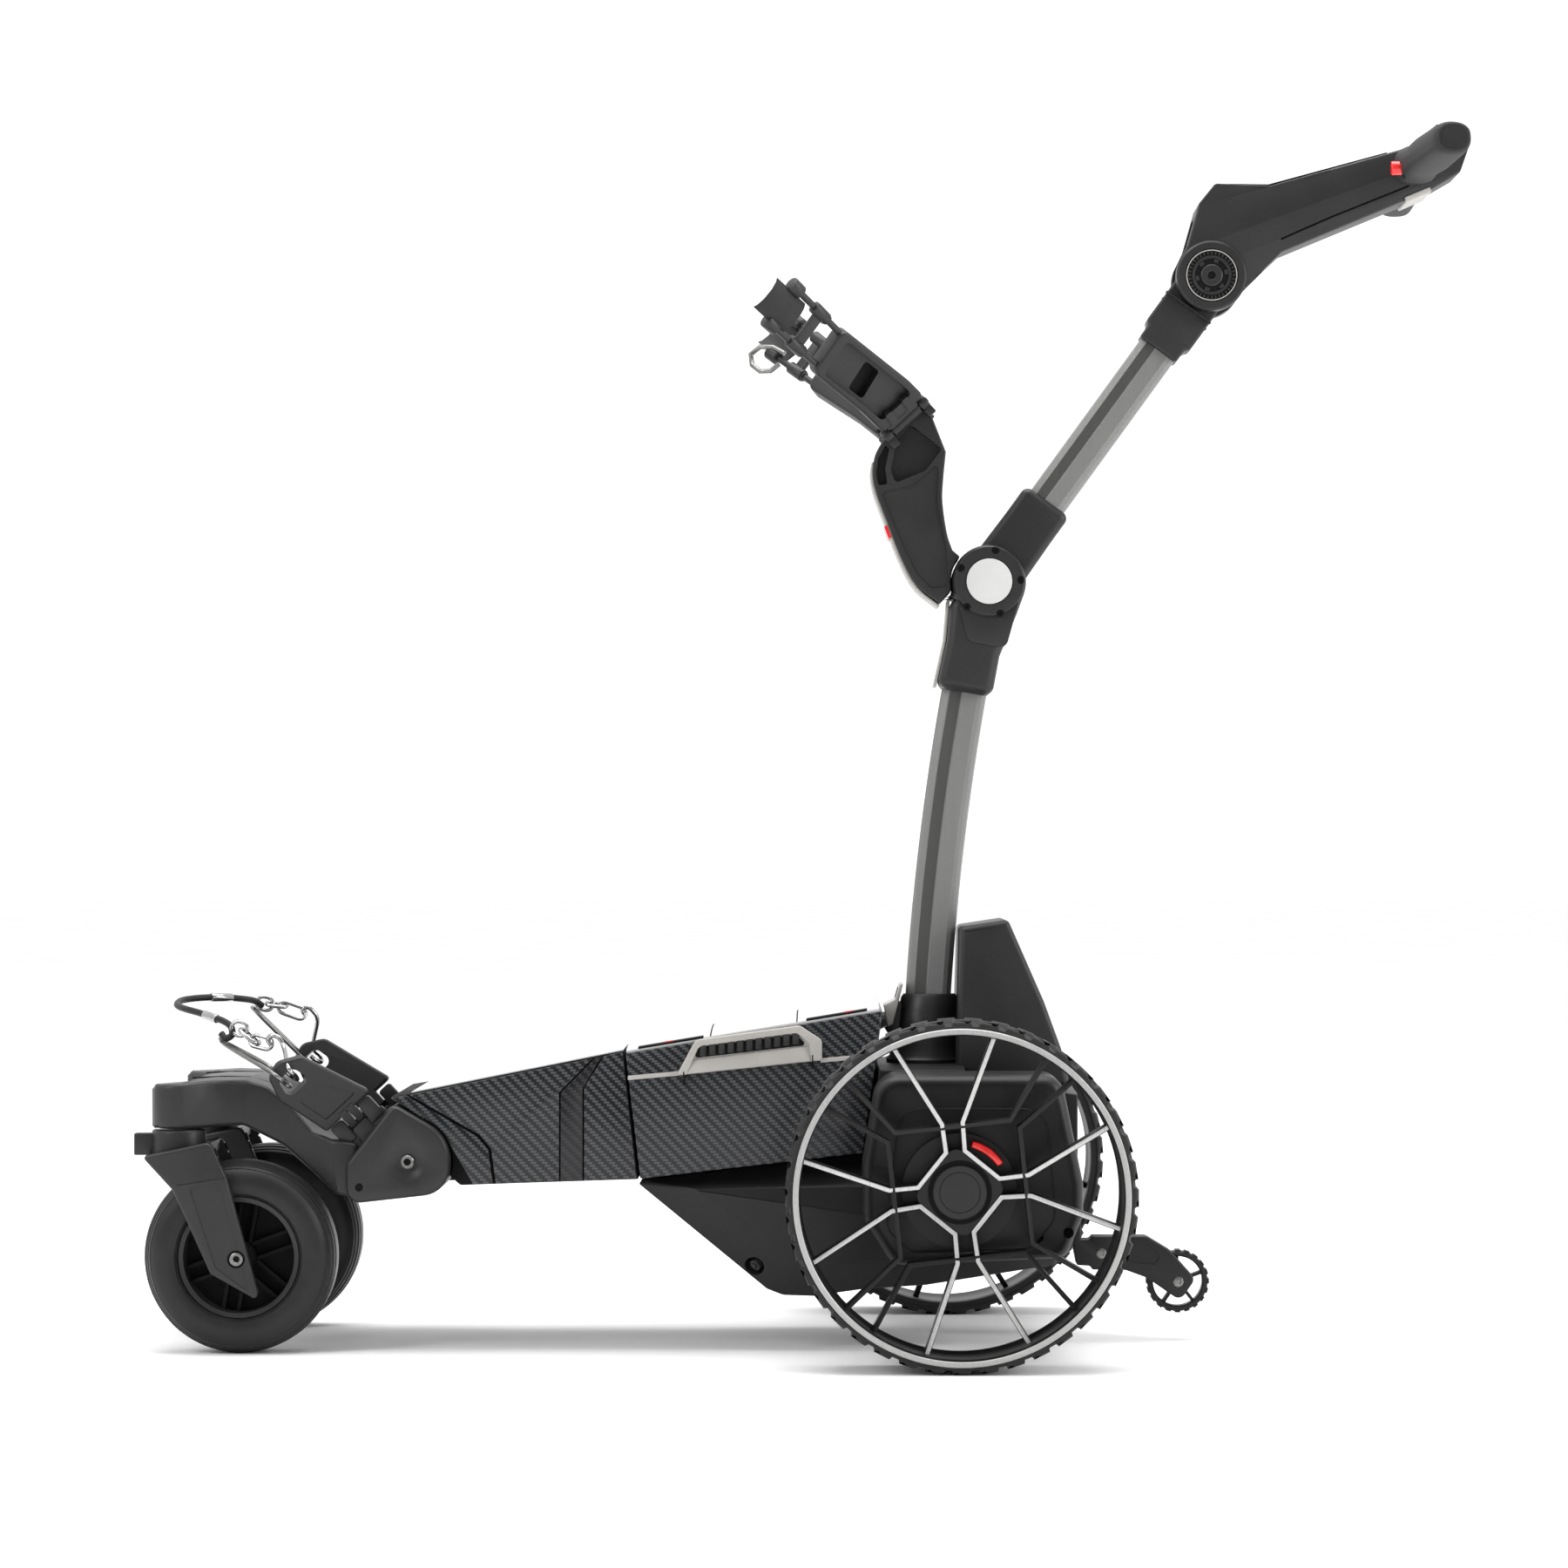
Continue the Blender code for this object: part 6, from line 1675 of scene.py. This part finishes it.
# %% Tilt knob
KNOB = upright([(329.8, 0)])[0]
for side_name, side in SIDES:
    bm = bmesh.new()
    turned(bm, [(9.6, side * 21), (30.0, side * 21), (30.5, side * 23), (30.5, side * 36.5),
                (28.6, side * 38.2), (23.4, side * 38.6), (22.6, side * 37.4),
                (9.6, side * 37.4)], (KNOB[0], 0, KNOB[1]), steps=96)
    hand_over(bm, f"tilt_boss_{side_name}", HOUSING, "handle", (), 30)
    bm = bmesh.new()
    turned(bm, [(21.4, side * 37.2), (22.2, side * 37.2), (22.2, side * 38.8),
                (21.4, side * 38.8)], (KNOB[0], 0, KNOB[1]), steps=96)
    hand_over(bm, f"tilt_outline_{side_name}", SILVER_TRIM, "handle", (),
              30)
    bm = bmesh.new()
    turned(bm, [(9.6, side * 37), (21.0, side * 37), (21.0, side * 38.1),
                (9.6, side * 38.1)], (KNOB[0], 0, KNOB[1]), steps=96)
    hand_over(bm, f"tilt_recess_{side_name}", BLACK_AND_RECESS_SHADE, "handle", (), 30)
    bm = bmesh.new()
    for index in range(36):
        ray = on_arm(10 * index, 18.0, 0)
        tip = on_arm(10 * index, 20.8, 0)
        slab(bm, [(KNOB[0] + u, KNOB[1] + v) for u, v in band([ray, tip], 1.5)],
             side * 38.0, side * 38.8)
    turned(bm, [(14.6, side * 38), (17.2, side * 38), (17.2, side * 38.9),
                (14.6, side * 38.9)], (KNOB[0], 0, KNOB[1]), steps=72)
    for index in range(6):
        ray = on_arm(60 * index + 12, 11.2, 0)
        tip = on_arm(60 * index + 12, 15.0, 0)
        slab(bm, [(KNOB[0] + u, KNOB[1] + v) for u, v in band([ray, tip], 4.2)],
             side * 38.0, side * 38.9)
    hand_over(bm, f"tilt_serrations_{side_name}", FORK_SKIN, "handle", (), 30)
    bm = bmesh.new()
    turned(bm, [(3.4, side * 34), (9.5, side * 34), (9.5, side * 38.8), (8.6, side * 39.4),
                (4.4, side * 39.4), (3.4, side * 38.4)], (KNOB[0], 0, KNOB[1]), steps=48)
    hand_over(bm, f"tilt_bolt_head_{side_name}", FORK_SKIN, "handle", (), 30)
    bm = bmesh.new()
    rod(bm, (KNOB[0], side * 35, KNOB[1]), (KNOB[0], side * 38.0, KNOB[1]), 4.3, 6)
    hand_over(bm, f"tilt_bolt_socket_{side_name}", BLACK_AND_RECESS_SHADE, "handle", (), 30)
bm = bmesh.new()
rod(bm, (KNOB[0], -35, KNOB[1]), (KNOB[0], 35, KNOB[1]), 8.9, 32)
hand_over(bm, "tilt_bolt_shank", STEEL, "handle", ["tilt_bolt"], 30)
print("knob at", [round(value, 1) for value in KNOB])

# %% [markdown]
# The head of the handle is a faceted shell. It is widest along a seam line, and the faces
# above and below lean in from there, so its side view is cut along the seam and the parts
# on either side are drawn inwards.

# %% Handle head
HEAD = [(269, 934.4), (287.9, 952.0), (417, 1005.6), (443.0, 1020.8), (449.5, 1041),
        (450.8, 1053.4), (440, 1056.2), (388.2, 1040.3), (277.2, 1009.8), (228.7, 1010.9),
        (214.7, 993.7), (204.4, 957)]
SEAM = ((280.0, 981.0), (384.7, 1018.4))
bm = bmesh.new()
slab(bm, arc(KNOB, 30.5, 150, 292, 30) + HEAD, -35.8, 35.8)
slope = Vector((SEAM[1][0] - SEAM[0][0], SEAM[1][1] - SEAM[0][1])).normalized()
across_seam = Vector((-slope.y, 0, slope.x))
seat = Vector((SEAM[0][0], 0, SEAM[0][1]))
for shift in (-20, 0, 12, 24):
    bmesh.ops.bisect_plane(bm, geom=bm.verts[:] + bm.edges[:] + bm.faces[:],
                           plane_co=seat + across_seam * shift, plane_no=across_seam)
for corner in bm.verts:
    lift = (corner.co - seat).dot(across_seam)
    reach = (corner.co.xz - Vector(KNOB)).length
    if corner.co.x > 236 and reach > 31.5:
        inward = 0.30 * max(0.0, lift - 1) + 0.34 * max(0.0, -lift - 1)
        corner.co.y -= math.copysign(min(inward, 11.0), corner.co.y)
soften(bm, 2.2, 4, 24)
tool = bmesh.new()
slab(tool, around(KNOB, TILT, [(-60, -60), (36, -60), (36, 60), (-60, 60)]), -20.8, 20.8)
for side in (-1, 1):
    slab(tool, band([(286, 962), (330, 981.5), (398, 1008.8)], 1.6), side * 26, side * 40)
    slab(tool, rounded([(441.0, 1035.5, 1), (447.5, 1037.5, 1), (448.1, 1041, 1),
                        (441.6, 1039.0, 1)]), side * 22, side * 40)
bm = carve(bm, tool)
hand_over(bm, "handle_head", HOUSING, "handle", ["handle_body"], 12)
bm = bmesh.new()
slab(bm, [(396, 994.6), (418, 1003.8), (416.4, 1008.2), (394.4, 999.0)], -30, 30)
soften(bm, 0.8, 2, 30)
hand_over(bm, "handle_underside_panel", SILVER_TRIM, "handle", (), 34)
bm = bmesh.new()
slab(bm, [(241, 1010.6), (276, 1010.0), (380, 1038.3), (379.6, 1039.4), (276, 1011.4),
          (241, 1012.0)], -24, 24)
soften(bm, 0.5, 2, 30)
hand_over(bm, "console_pad", HULL_SKIN, "handle", (), 34)
print("head runs from", HEAD[-1][0], "to", HEAD[5][0], "mm behind the axle")

# %% [markdown]
# The grips are soft rubber sleeves with flat palms and a row of ribs on top. The left one
# carries the round drive button in a dark collar.

# %% Grips and drive button
def grip_line(distance):
    """How far behind the axle a grip's middle lies: the grips sweep back a little."""
    return 403 + 11 * (distance - 36) / 170


PALM = [(-17, -4), (-15.5, -10), (-9, -14.2), (2, -15.0), (11, -13.0), (15.6, -7), (16.6, 0),
        (15, 7.5), (9, 12.6), (0, 14.6), (-9, 13.4), (-15, 8.6), (-17.2, 2)]
STATIONS = ((36.4, 1.10), (40, 1.12), (46, 1.10), (60, 1.0), (84, 1.03), (110, 1.07),
            (140, 1.04), (170, 1.0), (192, 0.97), (200, 0.93), (204, 0.88), (206, 0.78))
for side_name, side in SIDES:
    bm = bmesh.new()
    outline = through([(u, 0, v) for u, v in PALM], 4, True)
    skin_over(bm, [[(grip_line(distance) + p.x * size, side * distance, 1026 + p.z * size)
                    for p in outline] for distance, size in STATIONS])
    for index in range(14):
        y = side * (84 + 7.0 * index)
        middle = grip_line(abs(y))
        slab(bm, rounded([(middle - 9, y - 1.5, 1.2), (middle + 9, y - 1.5, 1.2),
                          (middle + 9, y + 1.5, 1.2), (middle - 9, y + 1.5, 1.2)]),
             1035, 1040.6, "xy")
    hand_over(bm, f"rubber_grip_{side_name}", GRIP, "handle", [f"handle_grip_{side_name}"],
              40)
    bm = bmesh.new()
    end = [(p.x * 0.62 + 414, p.z * 0.62 + 1026) for p in outline]
    slab(bm, end, side * 205.4, side * 206.6)
    hand_over(bm, f"grip_end_plug_{side_name}", HOUSING, "handle", (), 40)
bm = bmesh.new()
rod(bm, (379.6, -54, 1021), (394, -54, 1021), 6.0, 32)
soften(bm, 1.0, 3, 50)
hand_over(bm, "drive_button_cap", RED, "drive_button", ["drive_trigger"], 40)
bm = bmesh.new()
turned(bm, [(6.4, -395), (8.6, -395), (8.6, -390.6), (7.8, -389.6), (6.4, -389.6)],
       (0, -54, 1021), (-1, 0, 0), 40)
hand_over(bm, "drive_button_collar", BLACK_AND_RECESS_SHADE, "handle", (), 40)
print("pieces so far", len(MADE))

# %% [markdown]
# ## Kept solids
# The drive axles stay as they were packed, because they are plain ground bars. They only
# need their finish.

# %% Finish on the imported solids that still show
for side_name, side in SIDES:
    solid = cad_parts[f"drive_axle_{side_name}"]
    for place_in_list in range(len(solid.material_slots)):
        solid.material_slots[place_in_list].material = STEEL
print("kept", [f"drive_axle_{side_name}" for side_name, _ in SIDES])

# %% [markdown]
# ## Size of the dressed trolley
# The box around the dressed trolley is printed. The dressed trolley has to stay inside
# the imported one's box.

# %% The box around the dressed trolley
low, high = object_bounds()
print("box", [round(v, 4) for v in (*low, *high)])
